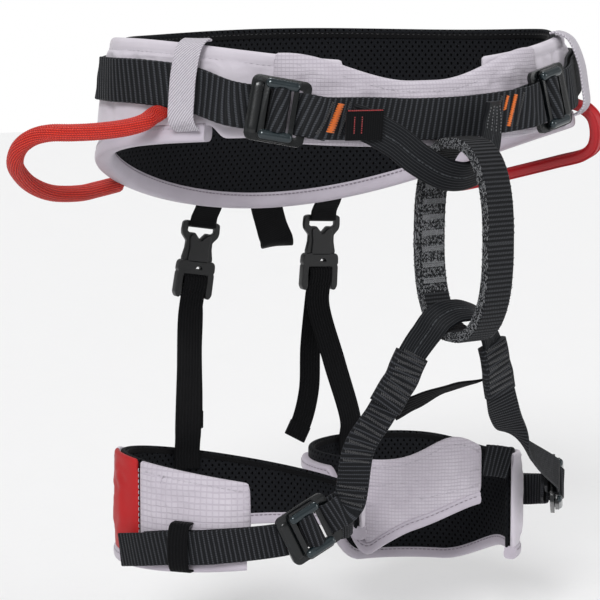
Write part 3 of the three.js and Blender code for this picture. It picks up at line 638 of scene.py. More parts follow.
def simulate(pads, pressure, cap):
    """Blows up every pad a little as cloth held at its seams and edges, then keeps the shape."""
    starts = {}
    for obj, free in pads:
        group = obj.vertex_groups.new(name="held")
        for i, w in enumerate(free):
            group.add([i], float(1 - w), "REPLACE")
        modifier = obj.modifiers.new("cloth", "CLOTH")
        s = modifier.settings
        s.quality = 4
        s.mass = 0.2
        s.use_pressure = True
        s.uniform_pressure_force = pressure
        s.vertex_group_mass = "held"
        s.shrink_min = -0.045
        s.tension_stiffness = s.compression_stiffness = 12
        s.bending_stiffness = 0.35
        s.effector_weights.gravity = 0
        starts[obj.name] = np.array([v.co for v in obj.data.vertices], float)
    for number in range(1, 21):
        scene.frame_set(number)
    graph = bpy.context.evaluated_depsgraph_get()
    for obj, free in pads:
        shaped = obj.evaluated_get(graph).data
        co = np.zeros(len(shaped.vertices) * 3)
        shaped.vertices.foreach_get("co", co)
        moved = co.reshape(-1, 3) - starts[obj.name]
        far = np.linalg.norm(moved, axis=1, keepdims=True)
        moved *= np.tanh(far / cap) * cap / np.maximum(far, 1e-9) * free[:, None]
        obj.modifiers.clear()
        obj.vertex_groups.clear()
        obj.data.vertices.foreach_set("co", (starts[obj.name] + moved).ravel())
        obj.data.update()
    scene.frame_set(1)


def subdivide(obj, levels=1):
    modifier = obj.modifiers.new("round", "SUBSURF")
    modifier.levels = modifier.render_levels = levels
    return obj


def ridge(x, at, width, depth):
    return depth * np.exp(-(((x - at) / width) ** 2))


# ---------- waist belt ----------
def lift_of_shell(angle):
    """The shell's lower edge rises into the rolled binding, which runs round the sides and back."""
    side = np.minimum(angle, 360 - angle)
    return 1 + 7.5 * smooth((side - 47) / 4)


def far_round(angle):
    """1 round the back and the wearer's left, where the mesh is rolled over the shell's top edge."""
    return smooth((angle - 62) / 25) * (1 - smooth((angle - 235) / 25))


def shell_bottom(angle):
    return belt_bottom(angle) + lift_of_shell(angle)


def belt_seams(angle, z, share, run):
    """A sewn line under the top edge and one over the binding."""
    top = ridge(belt_top(angle) - z, 6.5, 0.9, 0.7)
    low = ridge(z - shell_bottom(angle), 6.5, 0.9, 0.55)
    return np.maximum(top, low) + ridge(angle, 128, 0.7, 0.5) + ridge(angle, 232, 0.7, 0.5)


def creases(angle, z, share, run):
    """Shallow creases where the belt bends, mostly across its height."""
    edge = np.sin(np.pi * np.clip(share, 0, 1))
    return edge * (0.35 * np.sin(run / 7.3 + 0.05 * z) * np.sin(run / 23.0)
                   + 0.25 * np.sin(run / 4.1 - 0.09 * z + 1.0) * bell(angle % 360, 300, 35))


waist_pad = slab("waist_pad", belt_point, 18, 342, shell_bottom, lambda a: belt_top(a) - 2.0 * far_round(a), -4.4, -0.3,
                 crown=1.0, seams=belt_seams, relief=creases)
piece(waist_pad, LILAC, "waist_belt", "lilac_fabric", "waist_pad_shell")
waist_liner = slab("waist_liner", belt_point, 19, 341, lambda a: shell_bottom(a) + 0.5,
                   lambda a: belt_top(a) - 1.5 + 1.8 * far_round(a), -8.9, -4.5, step=3.5)
piece(waist_liner, MESH, "waist_belt", "spacer_mesh", "waist_mesh_liner")
front_pad = slab("front_pad", belt_point, -35, 35,
                 lambda a: belt_bottom(a) - 6 + 5 * (a / 35) ** 2, front_pad_top, 1, 5.4, crown=1.1,
                 seams=lambda a, z, share, run: ridge(front_pad_top(a) - z, 6.0, 0.9, 0.6)
                 + ridge(np.abs(a), 31.5, 0.9, 0.4))
piece(front_pad, LILAC_RIB, "waist_belt", "lilac_fabric", "waist_front_pad")


def rolled(name, point, start, end, low, tall, inner, outer, step=2.6):
    """A rolled binding: a full round bead with a sewn waist along its upper third."""
    angle = np.linspace(start, end, int(abs(end - start) / 360 * (850 if tall > 9 else 400) / step))
    turn = np.linspace(0, 2 * np.pi, 25)[:-1]
    mid_z, mid_out = low(angle) + tall / 2, (inner + outer) / 2
    power = 0.62
    z = np.sign(np.sin(turn)) * np.abs(np.sin(turn)) ** power * tall / 2
    out = np.sign(np.cos(turn)) * np.abs(np.cos(turn)) ** power * (outer - inner) / 2
    out = out * (1 - 0.13 * bell(z, tall * 0.22, tall * 0.07))
    run = lengths(point(angle, mid_z))
    pucker = 1 + 0.02 * np.sin(run / 1.9)[:, None] * bell(z, tall * 0.2, tall * 0.25)[None]
    rows = point(angle[:, None], mid_z[:, None] + z[None], mid_out + out[None] * pucker)
    around = lengths(np.stack([z, out, 0 * z], -1), ring=True)
    return grid(name, rows, np.repeat(run[:, None], 25, 1), np.repeat(around[None], len(angle), 0))


waist_binding = rolled("waist_binding", belt_point, 52, 308, lambda a: belt_bottom(a) - 0.5, 11, -9.3, 1.2)
piece(waist_binding, LILAC_BIND, "waist_belt", "lilac_fabric", "waist_bottom_binding")


def line_on(point, angles, level, out):
    points = point(angles, level(angles), out)
    outs = unit(point(angles, level(angles), out + 1.0) - points)
    return points, outs


sweep = np.linspace(20, 340, 700)
belt_runs = join(
    run_of_stitches(*line_on(belt_point, sweep, lambda a: belt_top(a) - 6.5, -0.1)),
    run_of_stitches(*line_on(belt_point, sweep[70:-70], lambda a: shell_bottom(a) + 6.5, -0.1)),
    run_of_stitches(*line_on(belt_point, np.linspace(53, 307, 600), lambda a: belt_bottom(a) + 7.6, 0.75)),
    run_of_stitches(*line_on(belt_point, np.linspace(-30, 30, 150), lambda a: front_pad_top(a) - 6, 5.9)))
sewn("belt_stitching", belt_runs, LILAC_THREAD, "waist_belt", "lilac_fabric")
inner_runs = []
for drop in (3.0, 5.2):
    p, o = line_on(belt_point, sweep, lambda a: belt_top(a) - drop, -9.2)
    inner_runs.append(run_of_stitches(p, -o))
sewn("liner_stitching", join(*inner_runs), DARK, "waist_belt", "spacer_mesh")
p, o = line_on(belt_point, np.linspace(53, 307, 700), lambda a: belt_bottom(a) + 8.0, -9.0)
sewn("binding_inner_stitching", run_of_stitches(p, -o, 2.0, 0.7), MAUVE_THREAD, "waist_belt", "lilac_fabric", radius=0.34)


def edge_tape(name, point, start, end, top, width, out, body, slot):
    """A narrow woven tape sewn over the top of the mesh."""
    angle = np.linspace(start, end, int(abs(end - start) * 1.4))
    knots = [(point(a, top(a) - width / 2, out), vec(0, 0, 1)) for a in angle]
    return piece(Strap(knots, width, 0.7, step=2.5).mesh(name), EDGE, body, slot)


edge_tape("liner_top_tape", belt_point, 20, 340, lambda a: belt_top(a) - 2.2, 3.4, -9.15, "waist_belt", "spacer_mesh")

# ---------- buckles ----------
BUCKLE_STAND_OFF = 14.5


class Place:
    """Local axes of a fitting: x along the strap, y across it, z away from the body."""

    def __init__(self, origin, along, out):
        self.origin = np.asarray(origin, float)
        self.z = unit(out)
        self.x = unit(np.asarray(along, float) - np.dot(along, self.z) * self.z)
        self.y = np.cross(self.z, self.x)

    def point(self, s, n, y=0.0):
        return self.origin + self.x * s + self.z * n + self.y * y

    def knots(self, pairs):
        return [(self.point(s, n), self.y) for s, n in pairs]

    def all(self, points):
        points = np.asarray(points, float)
        return (self.origin + points[..., :1] * self.x + points[..., 1:2] * self.y + points[..., 2:3] * self.z)


def belt_place(angle, level, out, lean):
    side = np.sign(angle)
    along = belt_point(angle - side * 2, level + lean, out) - belt_point(angle + side * 2, level - lean, out)
    up = belt_point(angle, level + 1, out) - belt_point(angle, level - 1, out)
    return Place(belt_point(angle, level, out), along, np.cross(along, up) * -side)


def leg_place(leg, angle, level, out, roll):
    point = leg_point(leg)
    side = 1 if leg == "right" else -1
    tangent = unit(point(angle + 2, level, out) - point(angle - 2, level, out)) * side
    outward = np.cross(tangent, vec(0, 0, 1)) * side
    roll = math.radians(roll)
    return Place(point(angle, level, out), tangent * math.cos(roll) + vec(0, 0, 1) * math.sin(roll), outward)


WAIST_PLACE = {"right": belt_place(-33, -1, BUCKLE_STAND_OFF, -0.9), "left": belt_place(31, 1, BUCKLE_STAND_OFF, -0.9)}
LEG_PLACE = {"right": leg_place("right", 29, -233, BUCKLE_STAND_OFF - 5, 27),
             "left": leg_place("left", 84, -240, BUCKLE_STAND_OFF + 4, 27)}


def refined(node, name, material, body, slot, bevel=0.5):
    """The CAD fitting with its edges rounded over."""
    import bmesh
    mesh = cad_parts[node].data.copy()
    work = bmesh.new()
    work.from_mesh(mesh)
    bmesh.ops.remove_doubles(work, verts=work.verts, dist=1e-6)
    bmesh.ops.dissolve_limit(work, angle_limit=math.radians(2), verts=work.verts, edges=work.edges)
    work.to_mesh(mesh)
    work.free()
    mesh.shade_smooth()
    obj = bpy.data.objects.new(name, mesh)
    scene.collection.objects.link(obj)
    modifier = obj.modifiers.new("edges", "BEVEL")
    modifier.width = bevel * MM
    modifier.segments = 3
    modifier.limit_method = "ANGLE"
    modifier.angle_limit = math.radians(35)
    modifier.harden_normals = True
    return piece(obj, material, body, slot, node)


def rim(name, place, span, at, n, radius, flat, body, across=False):
    """A rounded bar on a buckle with full round ends, along the strap or across it."""
    along = np.linspace(-1, 1, 41)
    length = (span[1] - span[0]) / 2
    turn = np.linspace(0, 2 * np.pi, 21)[:-1]
    near = np.clip((1 - np.abs(along)) * length / radius, 0, 1)
    size = np.sqrt(np.clip(1 - (1 - near) ** 2, 0.01, 1))
    x = (span[0] + span[1]) / 2 + length * along
    y = at + radius * np.cos(turn)[None] * size[:, None]
    z = n + radius * flat * np.sin(turn)[None] * size[:, None]
    first, second = x[:, None] + 0 * y, y
    local = np.stack([second, first, z] if across else [first, second, z], -1)
    u = np.repeat(x[:, None], 21, 1)
    v = np.repeat(np.linspace(0, 2 * math.pi * radius, 21)[None], 41, 0)
    return piece(grid(name, place.all(local), u, v), METAL if across else RIM_METAL, body, "buckle_metal")


for side, part, place, web in (("right", "waist", WAIST_PLACE["right"], 24), ("left", "waist", WAIST_PLACE["left"], 24),
                               ("right", "leg", LEG_PLACE["right"], 19), ("left", "leg", LEG_PLACE["left"], 19)):
    body = "waist_belt" if part == "waist" else f"{side}_leg"
    slider = f"{side}_{part}_slider"
    tag = f"{side}_{part}"
    half = web / 2 + 5
    refined(f"{tag}_buckle_frame", f"{tag}_frame", METAL, body, "buckle_metal", bevel=0.75)
    refined(f"{tag}_buckle_slider", f"{tag}_slider_plate", METAL, slider, "buckle_metal", bevel=0.6)
    for end, name in ((1, "upper"), (-1, "lower")):
        rim(f"{tag}_slider_{name}_rim", place, (-9.8, 9.2), end * (half - 3.2), 5.3, 2.7, 0.8, slider)
    rim(f"{tag}_frame_swell", place, (-half + 2.4, half - 2.4), -12.4, 2.2, 3.6, 0.36, body, across=True)

# ---------- webbing ----------
LOOSE = [(-9, -2.3), (-12, -2.3), (-27, -2.4)]
TURN = [(-5.2, -1.4), (-4.6, 1), (-4.4, 3.4), (-2.9, 6.2), (-0.2, 7.3), (2.6, 6.2), (4, 3.4), (4, 1), (3.6, -1.2)]
LOADED = [(2.6, -5), (-5, -5.2), (-12, -5.3), (-27, -5.4)]
FOLD = [(27, -2.4), (18, -2.2), (12.5, -2), (9.9, 0), (9.9, 2.4), (12.5, 4.6), (18, 4.7), (24, 4.3)]


def up_on_belt(angle):
    a = math.radians(angle)
    return unit(vec(-0.13 * math.sin(a), 0.13 * math.cos(a), 1))


def on_belt(angle, out, level=None):
    return belt_point(angle, web_level(angle) if level is None else level, out), up_on_belt(angle)


def facing_down(knots):
    return [(at, -across if across[2] > 0 else across) for at, across in knots]


RIBS = {BLACK_WEB: (3.5, 0.27, 0.17), LEG_WEB: (2.6, 0.1, 0.15)}


def strap(name, knots, width, body, *nodes, material=BLACK_WEB, thickness=1.7, slot="black_webbing", wobble=0.0):
    """A ribbed webbing strap, which stands for the nodes given."""
    made = Strap(facing_down(knots), width, thickness, step=0.6)
    piece(made.mesh(name, wobble, RIBS[material]), material, body, slot, *nodes)
    return made


waist_web = strap("waist_webbing_run", WAIST_PLACE["right"].knots(LOADED)
                  + [on_belt(a, 3) for a in (-56, -72, -88)]
                  + [on_belt(a, 2.8, 13) for a in (-105, -125, -145, -165, 175, 155, 135, 115)]
                  + [on_belt(a, 3) for a in (88, 72, 56)]
                  + WAIST_PLACE["left"].knots(LOADED)[::-1], 24, "waist_belt", "waist_webbing")
for side, sign in (("right", -1), ("left", 1)):
    tail = [on_belt(sign * a, 6.4 - (a - 56) / 42) for a in (56, 70, 84, 98)]
    strap(f"{side}_waist_tail", WAIST_PLACE[side].knots(LOOSE) + tail, 24, "waist_belt",
          f"{side}_waist_webbing_tail", wobble=0.12)
    strap(f"{side}_waist_turn", WAIST_PLACE[side].knots(TURN), 24, f"{side}_waist_slider",
          f"{side}_waist_webbing_turn")
front_web = strap("front_webbing_run", WAIST_PLACE["right"].knots(FOLD)
                  + [on_belt(-13, 13), on_belt(-5, 9.6), on_belt(4, 9.4), on_belt(12, 12.2)]
                  + WAIST_PLACE["left"].knots(FOLD)[::-1], 23, "waist_belt", "front_webbing")

for side, sign in (("right", -1), ("left", 1)):
    at = sign * 56
    top, low = belt_top(at), belt_bottom(at) + 10.5
    along = unit(belt_point(at + 1, 0) - belt_point(at - 1, 0))
    knots = [(belt_point(at, z, out), along) for z, out in (
        (top + 1.6, -5), (top + 2.6, -1), (top - 1, 6.4), (19, 11.2), (5, 11.8), (-6, 11.2),
        (low - 2, 7.4), (low - 4, 3))]
    keeper = Strap(knots, 14.5, 1.4, step=1.5)
    piece(keeper.mesh(f"{side}_waist_keeper_band", 0.08), LILAC_ELASTIC, "waist_belt", "lilac_fabric",
          f"{side}_waist_keeper")
    outward = belt_point(at, 0, 1) - belt_point(at, 0, 0)
    runs = [run_of_stitches(*keeper.at(np.linspace(keeper.length - 7, keeper.length - 7 + k, 6),
                                       np.linspace(-6.2, 6.2, 6), 0.05, facing=outward), length=1.8, gap=0.6)
            for k in (0, 2.4)]
    sewn(f"{side}_waist_keeper_stitching", join(*runs), LILAC_THREAD, "waist_belt", "lilac_fabric")

# orange bartacks on the front webbing, beside the tie-in tape
AHEAD = vec(0, -1, 0)


def near(made, point):
    """Arc length of the strap's nearest place to a point."""
    return made.s[np.argmin(np.linalg.norm(made.line - point, axis=1))]


def bartack(made, s, low, high, half, lean, facing, pitch=0.62, lift=0.1):
    """Threads back and forth along the strap that step across it from low to high, leaning."""
    v = np.arange(low, high, pitch)
    points, outs = made.at(s + lean * v + np.where(np.arange(len(v)) % 2 == 0, -half, half), v, lift, facing=facing)
    return points[:-1], points[1:], outs[:-1]


s_right = near(front_web, belt_point(-21.3, -6, 21))
s_left = near(front_web, belt_point(18.5, -5, 14))
sewn("right_orange_bartack", bartack(front_web, s_right, -8, 8, 2.5, -0.42, AHEAD), ORANGE, "waist_belt",
     "black_webbing", radius=0.42)
sewn("left_orange_bartack", join(bartack(front_web, s_left, -8.5, 8.5, 1.4, -0.42, AHEAD),
                                 bartack(front_web, s_left - 5, -8.5, -1, 1.0, -0.42, AHEAD)),
     ORANGE, "waist_belt", "black_webbing", radius=0.36)
dark_tacks = [bartack(front_web, s_right + k, -9, 9, 0.9, -0.42, AHEAD) for k in (-5.5, 5.5)]
dark_tacks += [bartack(front_web, s_left + k, -9, 9, 0.9, -0.42, AHEAD) for k in (-9, 5)]
sewn("front_webbing_bartacks", join(*dark_tacks), DARK, "waist_belt", "black_webbing", radius=0.26)

# ---------- tie-in tapes, label and belay loop ----------
upper = Strap([(belt_point(-19, -5, 23.2), vec(0, 0.25, -1)), (belt_point(-16.5, -7.5, 22), vec(-0.35, 0.2, -0.9)),
               (vec(-31, -113, -17), vec(-0.5, 0.2, -0.8)), (vec(-17, -116.5, -28), vec(-0.35, 0.25, -0.9)),
               (vec(-2, -118.5, -36), vec(-0.1, 0.35, -0.9)), (vec(10, -119, -37.5), vec(0.1, 0.45, -0.9)),
               (vec(22.5, -117.5, -32.5), vec(0.4, 0.4, -0.8)), (vec(28.5, -114.5, -21), vec(0.85, 0.3, -0.4)),
               (vec(31, -112.8, -10), vec(0.9, 0.4, -0.1)), (vec(31.5, -112.8, 2), vec(0.78, 0.62, 0))], 18, 3.2)
piece(upper.mesh("upper_tie_in_tape"), TAPE, "waist_belt", "tie_in_tape", "upper_tie_in_loop")
ahead_left = vec(-0.5, -1, 0)
rows = [run_of_stitches(*upper.at(np.linspace(upper.length - 17, upper.length - 1.5, 20), v, 0.02, facing=ahead_left),
                        length=1.1, gap=0.7) for v in (-6.6, -2.2, 2.2, 6.6)]
sewn("upper_tape_end_stitching", join(*rows), GREY, "waist_belt", "tie_in_tape", radius=0.24)
label = Strap([(belt_point(a, -8, 28 - 0.1 * (a + 20)), vec(-0.3, 0.2, -0.9)) for a in (-20, -16.5, -13)], 17, 0.8)
piece(label.mesh("care_label"), FINE_WEB, "waist_belt", "black_webbing", "indicator_label")
reach = np.linspace(0.4, label.length - 0.4, 24)
marks = [run_of_stitches(*label.at(reach, -8.0, 0.05, facing=AHEAD), length=1.0, gap=0.05)]
marks += [run_of_stitches(*label.at(label.length * k, np.linspace(-5, 5, 20), 0.03, facing=AHEAD), length=0.9, gap=0.3)
          for k in (0.22, 0.42)]
sewn("label_red_marks", join(*marks), RED_THREAD, "waist_belt", "black_webbing", radius=0.3)

BELAY = vec(10, -118, -72.2)


def belay_point(turn, grow):
    c, s = np.cos(turn), np.sin(turn)
    ahead = (29.5 + grow) * np.sign(c) * np.abs(c) ** 0.8
    up = (53 + grow) * np.sign(s) * np.abs(s) ** 0.8
    yaw = math.radians(8)
    return np.stack([ahead * math.sin(yaw), -ahead * math.cos(yaw), up], -1) + BELAY


turn = (np.arange(620) + 0.5) / 620 * 2 * np.pi
across = vec(math.cos(math.radians(8)), math.sin(math.radians(8)), 0)
layers = []
for k in range(3):
    low, high = -3 + 2 * k, -1 + 2 * k
    side = [(1, low + 0.15), (1.02, low + 0.6), (1.02, high - 0.6), (1, high - 0.15), (0.965, high)]
    layers += side
profile = np.array([(0.965, -3.0)] + layers[:-1] + [(0.93, 3.0)])
section = np.concatenate([profile, np.stack([np.linspace(0.8, -0.8, 9), np.full(9, 3.0)], -1),
                          profile[::-1] * vec(-1, 1), np.stack([np.linspace(-0.8, 0.8, 9), np.full(9, -3.0)], -1)])
run = lengths(belay_point(turn, 0), ring=True)
relief = 0.17 * np.sin(run[:-1, None] * 2 * np.pi / 2.4) * (np.abs(section[None, :, 1]) >= 2.9)
rows = (belay_point(turn[:, None], section[None, :, 1] - np.sign(section[None, :, 1]) * relief)
        + across * (section[None, :, 0, None] * 8.75))
u = np.repeat(run[:, None], len(section) + 1, 1)
v = np.repeat(np.append(section[:, 0], section[0, 0])[None] * 8.75, 621, 0)
piece(grid("belay_ring_webbing", rows, u, v, ring=True), RIB_WEB, "belay_ring", "black_webbing", "belay_loop")


def on_ring(s, v, lift, side=1):
    """A point on the ring's outer face (side 1) or inner face (side -1)."""
    angle = np.interp(s, run, np.append(turn, turn[0] + 2 * np.pi))
    point = belay_point(angle, side * (3 + lift)) + across * np.asarray(v)[..., None]
    return point, unit(belay_point(angle, side * 4) - belay_point(angle, side * 3))


def ring_run(angle):
    return float(np.interp(math.radians(angle) % (2 * math.pi), turn, run[:-1]))


rng = np.random.default_rng(7)
tacks, specks = [], []
start, end = ring_run(146), ring_run(214)
for face in (1, -1):
    for s in np.arange(start + 3, end, 9.4):
        for k in range(3):
            v = np.arange(-7.5, 8, 0.6)
            points, outs = on_ring(s + 1.1 * k + np.where(np.arange(len(v)) % 2 == 0, -0.6, 0.6), v, 0.1, side=face)
            tacks.append((points[:-1], points[1:], outs[:-1]))
    s, v = rng.uniform(start, end, 900), rng.uniform(-8.4, 8.4, 900)
    lean = rng.uniform(-0.6, 0.6, 900)
    first, outs = on_ring(s - 0.55, v - lean, 0.03, side=face)
    second, _ = on_ring(s + 0.55, v + lean, 0.03, side=face)
    specks.append((first, second, outs))
for side in (1, -1):
    angle, depth = rng.uniform(0, 2 * np.pi, 1500), rng.uniform(-2.8, 2.8, 1500)
    lean = rng.uniform(-0.6, 0.6, 1500)
    first = belay_point(angle, depth - lean) + across * side * 8.97
    second = belay_point(angle + 0.02, depth + lean) + across * side * 8.97
    specks.append((first, second, np.broadcast_to(across * side, first.shape)))
sewn("belay_bartacks", join(*tacks), GREY, "belay_ring", "black_webbing", radius=0.2)
sewn("belay_specks", join(*specks), GREY, "belay_ring", "black_webbing", radius=0.15)

lower = Strap([(vec(*a), vec(*b)) for a, b in (
    ((-22, -107, -148.5), (-0.8, 0.1, 0.5)), ((-17.5, -109.5, -136), (-0.85, 0.1, 0.4)),
    ((-11, -112.5, -125), (-0.8, 0.2, 0.55)), ((-1.5, -114.5, -114.5), (-0.4, 0.6, 0.6)),
    ((10, -115, -111.8), (0, 0.8, 0.55)), ((21, -115, -114.5), (0.4, 0.8, 0.25)),
    ((29.5, -114, -126), (0.8, 0.5, 0.3)), ((33.5, -113.5, -137), (0.85, 0.3, 0.3)),
    ((35.5, -112.5, -144.5), (0.9, 0.2, 0.25)))], 17, 3.2)
piece(lower.mesh("lower_tie_in_tape"), TAPE, "waist_belt", "tie_in_tape", "lower_tie_in_loop")

# ---------- leg loops ----------
for leg, (start, end), bind_end in (("right", (-276, 6), 4), ("left", (-293, 38), 36)):
    body, point, bottom, top = f"{leg}_leg", leg_point(leg), LEG_BOTTOM[leg], LEG_TOP[leg]
    liner = slab(f"{leg}_leg_liner", point, start, end, lambda a: bottom(a) + 6.3, top, -6.95, -3.5, step=3.5)
    piece(liner, MESH, body, "spacer_mesh", f"{leg}_leg_mesh_liner")
    binding = rolled(f"{leg}_leg_rolled_binding", point, start + 2, bind_end, bottom, 8, -7.2, 0.9)
    piece(binding, LILAC_BIND, body, "lilac_fabric", f"{leg}_leg_binding")
    span = np.linspace(start + 3, bind_end - 1, 600)
    sewn(f"{leg}_leg_binding_stitching", run_of_stitches(*line_on(point, span, lambda a: bottom(a) + 5.6, 0.6)),
         MAUVE_THREAD, body, "lilac_fabric")
    p, o = line_on(point, span, lambda a: bottom(a) + 5.8, -6.95)
    sewn(f"{leg}_leg_binding_inner_stitching", run_of_stitches(p, -o, 2.0, 0.7), MAUVE_THREAD, body, "lilac_fabric",
         radius=0.28)
    edge_tape(f"{leg}_leg_top_tape", point, start + 2, end - 2, lambda a: top(a) - 1.2, 3.0, -7.15, body, "spacer_mesh")


def leg_panel(leg, name, start, end, material, node, slot="lilac_fabric", crown=0.9, seams=None, relief=None):
    point, low, high = leg_point(leg), LEG_BOTTOM[leg], LEG_TOP[leg]
    obj = slab(name, point, start, end, lambda a: low(a) + 6.8, lambda a: high(a) + 0.5 - 2.0 * smooth((-95 - a) / 20),
               -3.4, -0.2, step=2.6, crown=crown, seams=seams, relief=relief, ends=3.0)
    return piece(obj, material, f"{leg}_leg", slot, node)


def gathers(angle, z, share, run):
    """Small pleats where the front end of the right loop is drawn in."""
    return 0.75 * np.sin(z * 1.5) * bell(angle, 5, 5)


def front_seam(angle, z, share, run):
    """The curved seam between the two front fabrics."""
    line = -35 + 9 * (share - 0.5) ** 2 * 4 - 5 * share
    return ridge(angle, line, 1.0, 0.6) + ridge(right_top(angle) - z, 4.5, 0.8, 0.4)


def inner_seams(angle, z, share, run):
    return ridge(z, -229 + 0.16 * angle, 0.9, 0.55) + ridge(z, -240 + 0.2 * angle, 0.9, 0.5)


leg_panel("right", "right_leg_front", -52, 6, LILAC_RIPSTOP, "right_leg_front_panel", seams=front_seam, relief=gathers)
leg_panel("right", "right_leg_side", -92, -53, RED_CLOTH, "right_leg_side_panel", slot="red_fabric", crown=1.1)
leg_panel("right", "right_leg_back", -276, -93, LILAC, "right_leg_back_panel")
leg_panel("left", "left_leg_inner", -28, 38, LILAC_RIB, "left_leg_inner_panel", seams=inner_seams)
leg_panel("left", "left_leg_outer", -293, -128, LILAC, "left_leg_outer_panel")

right_point, left_point = leg_point("right"), leg_point("left")
levels = np.linspace(0.08, 0.95, 40)


def up_panel(point, line, bottom, top, out=0.55):
    """Points up a leg panel along a line of angles."""
    angles = line(levels)
    z = bottom(angles) + 9 + (top(angles) - bottom(angles) - 9) * levels
    points = point(angles, z, out)
    return points, unit(point(angles, z, out + 1) - points)


leg_runs = [run_of_stitches(*up_panel(right_point, lambda h: -36.6 + 9 * (h - 0.5) ** 2 * 4 - 5 * h, right_bottom, right_top)),
            run_of_stitches(*up_panel(right_point, lambda h: -50.5 + 0 * h, right_bottom, right_top)),
            run_of_stitches(*up_panel(right_point, lambda h: -95 + 0 * h, right_bottom, right_top)),
            run_of_stitches(*line_on(right_point, np.linspace(-48, 3, 120), lambda a: right_top(a) - 4.5, 0.35)),
            run_of_stitches(*line_on(right_point, np.linspace(-272, -97, 300), lambda a: right_top(a) - 4.5, 0.3))]
sewn("right_leg_stitching", join(*leg_runs), LILAC_THREAD, "right_leg", "lilac_fabric")
leg_runs = [run_of_stitches(*line_on(left_point, np.linspace(-26, 36, 150), lambda a: -229 + 0.16 * a, 0.3)),
            run_of_stitches(*line_on(left_point, np.linspace(-26, 36, 150), lambda a: -240 + 0.2 * a, 0.3)),
            run_of_stitches(*line_on(left_point, np.linspace(-26, 36, 150), lambda a: left_top(a) - 4.0, 0.35)),
            run_of_stitches(*line_on(left_point, np.linspace(-289, -132, 300), lambda a: left_top(a) - 4.5, 0.3))]
sewn("left_leg_stitching", join(*leg_runs), LILAC_THREAD, "left_leg", "lilac_fabric")

LEG_ROUTE = {"right": [(-12, -243.5), (-28, -245), (-44, -248), (-58, -251)],
             "left": [(128, -253), (143, -256), (160, -259), (178, -262)]}
for leg in ("right", "left"):
    body, point = f"{leg}_leg", leg_point(leg)
    place = LEG_PLACE[leg]

    def route(outs):
        return [(point(a, z, out), vec(0, 0, -1)) for (a, z), out in zip(LEG_ROUTE[leg], outs)]

    strap(f"{leg}_leg_web", place.knots(LOADED[:3]) + route((2.3, 2.3, 2.3)), 19, body, f"{leg}_leg_webbing",
          material=LEG_WEB)
    strap(f"{leg}_leg_tail", place.knots(LOOSE[:2]) + route((9 if leg == "left" else 6.6, 6.6, 6.6, 6.6)), 19, body,
          f"{leg}_leg_webbing_tail", material=LEG_WEB, wobble=0.12)
    strap(f"{leg}_leg_turn", place.knots(TURN), 19, f"{leg}_leg_slider", f"{leg}_leg_webbing_turn",
          material=LEG_WEB)
for leg, at, level in (("right", -24, -244.5), ("left", 148, -256.5)):
    point = leg_point(leg)
    along = unit(point(at + 1, level) - point(at - 1, level))
    knots = [(point(at, level + z, out), along)
             for z, out in ((13.5, 1.7), (12.8, 7), (6, 9.9), (-6, 9.9), (-12.8, 7), (-13.5, 1.7))]
    piece(Strap(knots, 12, 1.3, step=1.0).mesh(f"{leg}_leg_keeper_band", 0.06), ELASTIC, f"{leg}_leg",
          "black_webbing", f"{leg}_leg_keeper")

right_front = strap("right_front_web", [(vec(*a), vec(*b)) for a, b in (
    ((-23.5, -105.5, -151.5), (0.8, -0.1, -0.5)), ((-33, -103, -168), (0.8, -0.1, -0.5)),
    ((-43, -98, -186), (0.8, -0.15, -0.5)))] + LEG_PLACE["right"].knots(FOLD)[::-1],
    18, "right_leg", "right_front_strap", material=LEG_WEB)
left_front = strap("left_front_web", [(vec(*a), vec(*b)) for a, b in (
    ((37, -111.5, -148.5), (0.9, 0.2, -0.3)), ((43, -106, -163), (0.95, 0.1, -0.2)),
    ((56, -93, -181), (0.85, 0.1, -0.4)), ((84, -72, -204), (0.6, 0.1, -0.8)))]
    + LEG_PLACE["left"].knots(FOLD)[::-1], 18, "left_leg", "left_front_strap", material=LEG_WEB)


def bands(made, spans, facing, width, pitch=5.0):
    """Rows of dark bartacks across a strap."""
    runs = []
    for start, end in spans:
        for s in np.arange(start, end, pitch):
            v = np.arange(-width / 2, width / 2, 0.7)
            points, outs = made.at(s + np.where(np.arange(len(v)) % 2 == 0, -0.9, 0.9), v, 0.06, facing=facing)
            runs.append((points[:-1], points[1:], outs[:-1]))
    return join(*runs)


sewn("right_front_bartacks", bands(right_front, [(4, 52), (66, 78)], vec(-0.5, -1, 0), 15), DARK, "right_leg",
     "black_webbing", radius=0.3)
sewn("left_front_bartacks", bands(left_front, [(4, 16)], vec(-0.5, -1, 0), 15), DARK, "left_leg",
     "black_webbing", radius=0.3)
sewn("lower_tape_bartacks", join(bands(lower, [(3, 18)], vec(-0.5, -1, 0), 14, 4.0),
                                 bands(lower, [(lower.length - 12, lower.length - 2)], vec(-0.5, -1, 0), 14, 4.0)),
     DARK, "waist_belt", "tie_in_tape", radius=0.3)
